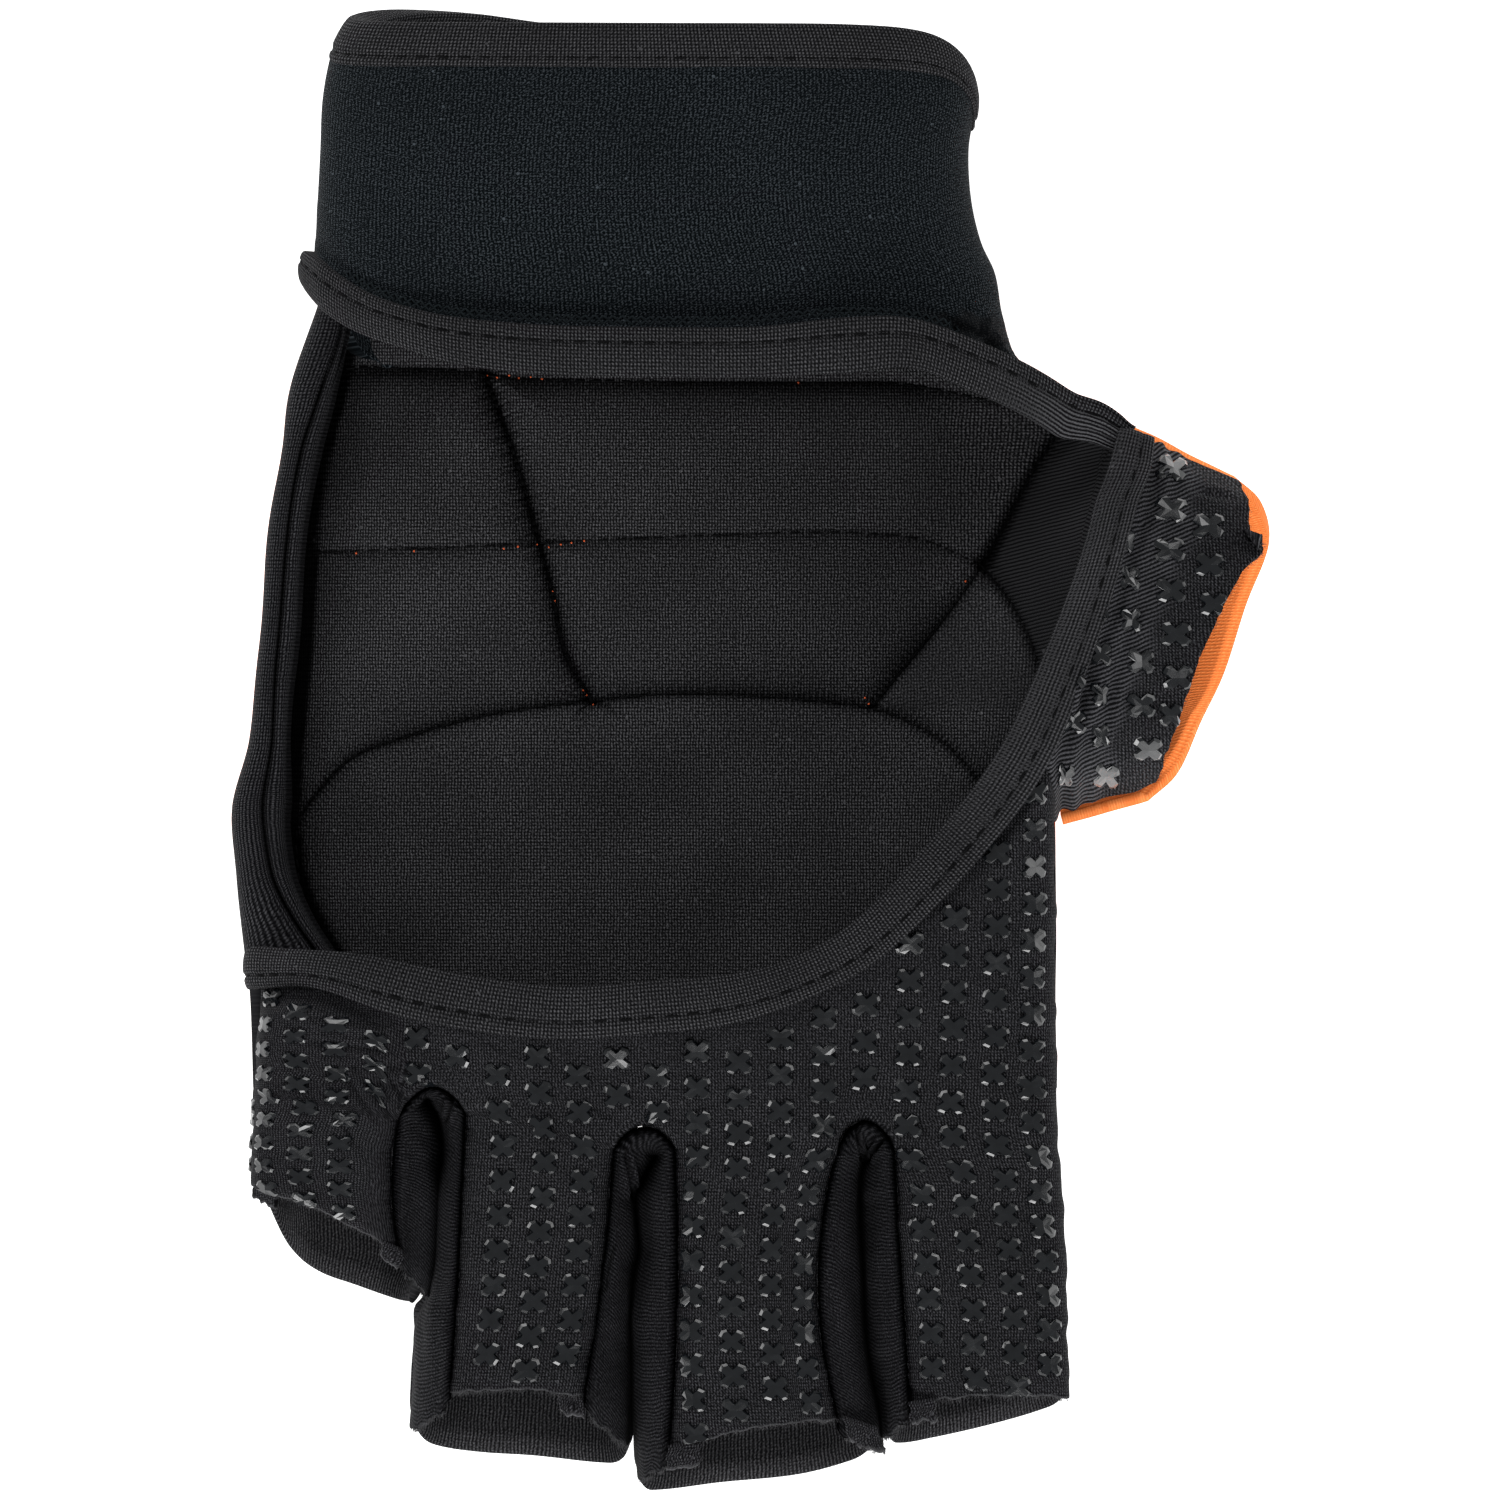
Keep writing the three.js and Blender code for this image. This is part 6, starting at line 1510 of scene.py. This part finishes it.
def crossShape():
    # a fat X with notches on all four sides and a sloping rim
    quarter = np.array(cross["arm"])
    turns = np.arange(4) * np.pi / 2
    outline = np.concatenate([np.stack([
        quarter[:, 0] * np.cos(a) - quarter[:, 1] * np.sin(a),
        (quarter[:, 0] * np.sin(a) + quarter[:, 1] * np.cos(a)) * cross["flatter"]], 1) for a in turns])
    rings = cross["rings"]
    top = len(rings) - 1
    points = np.concatenate([np.concatenate([outline * k, np.full((16, 1), z)], 1) for k, z in rings]
                            + [np.array([[0, 0, rings[top][1]]])])
    ring = np.arange(16)
    after = (ring + 1) % 16
    bands = [np.stack([ring, after, after + 16, ring + 16], 1) + 16 * k for k in range(top)]
    fan = np.stack([ring[::2], ring[::2] + 1, (ring[::2] + 2) % 16, np.full(8, 16)], 1) + 16 * top
    return points, np.concatenate(bands + [fan])


def joinShapes(name, points, faces):
    shift = np.arange(len(points))[:, None, None] * points.shape[1]
    allFaces = (faces[None] + shift).reshape(-1, 4)
    flat = points.reshape(-1, 3)
    piece = meshFrom(name, flat, allFaces, flat[allFaces][..., :2].reshape(-1, 2))
    piece.data.polygons.foreach_set("use_smooth", np.zeros(len(allFaces), bool))
    return piece


def tiltedShapes(count, seed):
    # each print sits a little differently: turned, scaled and tilted
    template, faces = crossShape()
    rng = np.random.default_rng(seed)
    turn = rng.normal(0, 0.05, count)[:, None]
    size = rng.normal(1, 0.025, count)[:, None]
    x = (template[None, :, 0] * np.cos(turn) - template[None, :, 1] * np.sin(turn)) * size
    y = (template[None, :, 0] * np.sin(turn) + template[None, :, 1] * np.cos(turn)) * size
    lean = rng.normal(0, 0.045, (count, 2))
    z = template[None, :, 2] + (x * lean[:, :1] + y * lean[:, 1:]) * (template[None, :, 2] > 0)
    return np.stack([x, y, z], -1), faces


# columns of crosses: place across the cloth, and the y of the one next to the finger roots
crossColumns = table("u y", [
    (-77.0, -48.1), (-71.6, -45.6), (-66.2, -48.1), (-60.8, -45.6), (-55.4, -48.1), (-50.0, -45.6),
    (-44.6, -48.1), (-39.2, -45.6), (-33.8, -48.1), (-28.3, -45.6), (-23.1, -48.1), (-17.8, -45.9),
    (-12.5, -48.1), (-7.0, -44.9), (-1.5, -46.3), (3.9, -48.0), (9.5, -45.3), (14.9, -48.5),
    (20.5, -45.3), (26.3, -46.8), (31.8, -47.9), (36.7, -44.9)])


def hasRoom(target):
    # whether the cloth has a place for a print: not past its edges, at a slit or under the tape
    distance = ((palmUv - target) ** 2).sum(-1)
    r, c = np.unravel_index(np.argmin(distance), distance.shape)
    v, owner = palmV[r], palmOwners[c]
    x, y = palmGrid[r, c, :2]
    if distance[r, c] >= 0.5 or v >= 1.975 or y > tapeYAt(x) - 1.0 - cornerDrop(x):
        return False
    if owner < 0:
        return v <= 0.90
    if v <= 0.97:
        return True
    # on the hand's two outer sides a print may run 1 mm over the seam
    left, right = palmUv[r, ownColumns(owner)[[0, -1]], 0]
    leftRoom = {0: -1}.get(owner, cross["margin"])
    rightRoom = {0: cross["littleMargin"], 3: -1}.get(owner, cross["margin"])
    return target[0] - left >= leftRoom and right - target[0] >= rightRoom


def makePalmCrosses():
    # rows step up through the palm, and a little closer together down the fingers
    palmSteps, fingerSteps = np.arange(9, 0, -1), -np.arange(0, 14)
    step = np.concatenate([palmSteps * cross["rowPitch"], fingerSteps * cross["fingerPitch"]])
    places = zip(crossColumns["u"].repeat(len(step)), (crossColumns["y"][:, None] + step).ravel())
    targets = np.array([place for place in places if hasRoom(np.array(place))])
    shapes, faces = tiltedShapes(len(targets), 121)
    normal = normalsOf(palmGrid, faceUp=True)
    points = np.array([layOn(palmGrid, normal, palmUv, target, shape)
                       for target, shape in zip(targets, shapes)])
    # a print that would reach across a slot between two fingers isn't there
    points = points[np.ptp(points, axis=1).max(1) < cross["widest"]]
    piece = joinShapes("palm_crosses", points, faces)
    finishPiece(piece, silicone, "silicone_print")
    print("crosses on the palm:", len(points))


# wide: less than 1 where the print lies across a fold
thumbCrosses = table("x y wide", [
    (57.6, 37.5, 1), (57.4, 31.9, 1), (61.7, 29.7, 1), (57.0, 26.6, 1), (61.6, 24.6, 1),
    (56.9, 21.2, 1), (61.9, 19.4, 1), (57.2, 15.4, 1), (52.9, 11.8, 0.9), (57.2, 9.6, 1),
    (52.8, 5.9, 0.95), (53.3, 0.2, 1), (48.3, 18.7, 0.6), (52.0, 17.3, 0.7), (52.2, 22.9, 0.6),
    (51.9, 27.8, 0.6), (52.8, 34.5, 0.5), (48.4, 12.8, 0.6), (44.9, 9.7, 0.7), (44.5, 3.8, 0.95),
    (48.0, 7.4, 0.55), (47.8, 1.9, 0.6), (56.2, 4.6, 0.8), (43.5, -3.3, 0.5), (48.5, -3.6, 0.8)])


def makeThumbCrosses():
    targets = np.stack([thumbCrosses["x"], thumbCrosses["y"]], 1)
    shapes, faces = tiltedShapes(len(targets), 122)
    normal = upNormals(thumbGrid)
    shapes[..., 0] *= thumbCrosses["wide"][:, None]
    cloth = np.stack([thumbX, thumbY], -1)
    points = [layOn(thumbGrid, normal, cloth, target, shape) for target, shape in zip(targets, shapes)]
    piece = joinShapes("thumb_crosses", np.array(points), faces)
    finishPiece(piece, silicone, "silicone_print")


makePalmCrosses()
makeThumbCrosses()
print("crosses made")


# Floor, light and camera

view = {"lens": 500, "sensor": 36, "width": 200.0, "level": 20.0}
light = {"world": 0.31, "floorGlow": 0.85, "lamps": [
    {"name": "front", "place": (0.0, -1.25, 0.62), "size": (1.5, 0.45), "power": 26},
    {"name": "left", "place": (-1.25, 0.3, 0.55), "size": (0.8, 0.6), "power": 10},
    {"name": "right", "place": (1.25, 0.1, 0.55), "size": (0.8, 0.6), "power": 5},
    {"name": "behind", "place": (0.1, 1.15, 0.85), "size": (1.2, 0.5), "power": 11}]}


def makeFloor():
    # 3 m to each side, and a hair below the glove
    points = np.array([(-1, -1, 0), (1, -1, 0), (1, 1, 0), (-1, 1, 0)]) * 3000.0 - [0, 0, 0.05]
    floor = meshFrom("floor", points, np.array([[0, 1, 2, 3]]), points[:, :2])
    material = bpy.data.materials.new("paleFloor")
    material.use_nodes = True
    shader = material.node_tree.nodes["Principled BSDF"]
    shader.inputs["Base Color"].default_value = (0.9, 0.9, 0.9, 1)
    shader.inputs["Roughness"].default_value = 0.9
    shader.inputs["Specular IOR Level"].default_value = 0.1
    shader.inputs["Emission Color"].default_value = (1, 1, 1, 1)
    shader.inputs["Emission Strength"].default_value = light["floorGlow"]
    floor.data.materials.append(material)


def makeLamp(lamp):
    data = bpy.data.lights.new(lamp["name"], "AREA")
    data.shape = "RECTANGLE"
    data.size, data.size_y = lamp["size"]
    data.energy = lamp["power"]
    piece = bpy.data.objects.new(lamp["name"], data)
    bpy.context.scene.collection.objects.link(piece)
    piece.location = lamp["place"]
    piece.rotation_euler = (-piece.location).to_track_quat("-Z", "Y").to_euler()


makeFloor()
for lamp in light["lamps"]:
    makeLamp(lamp)
world = bpy.data.worlds.new("studio")
world.use_nodes = True
world.node_tree.nodes["Background"].inputs[0].default_value = (1, 1, 1, 1)
world.node_tree.nodes["Background"].inputs[1].default_value = light["world"]
bpy.context.scene.world = world
bpy.context.scene.view_settings.view_transform = "Standard"
bpy.context.scene.view_settings.look = "None"

cameraData = bpy.data.cameras.new("camera")
cameraData.lens = view["lens"]
cameraData.sensor_width = view["sensor"]
camera = bpy.data.objects.new("camera", cameraData)
bpy.context.scene.collection.objects.link(camera)
camera.location = (0, 0, (view["level"] + view["width"] * view["lens"] / view["sensor"]) * mm)
cameraData.clip_end = 20
bpy.context.scene.camera = camera

print("scene made")
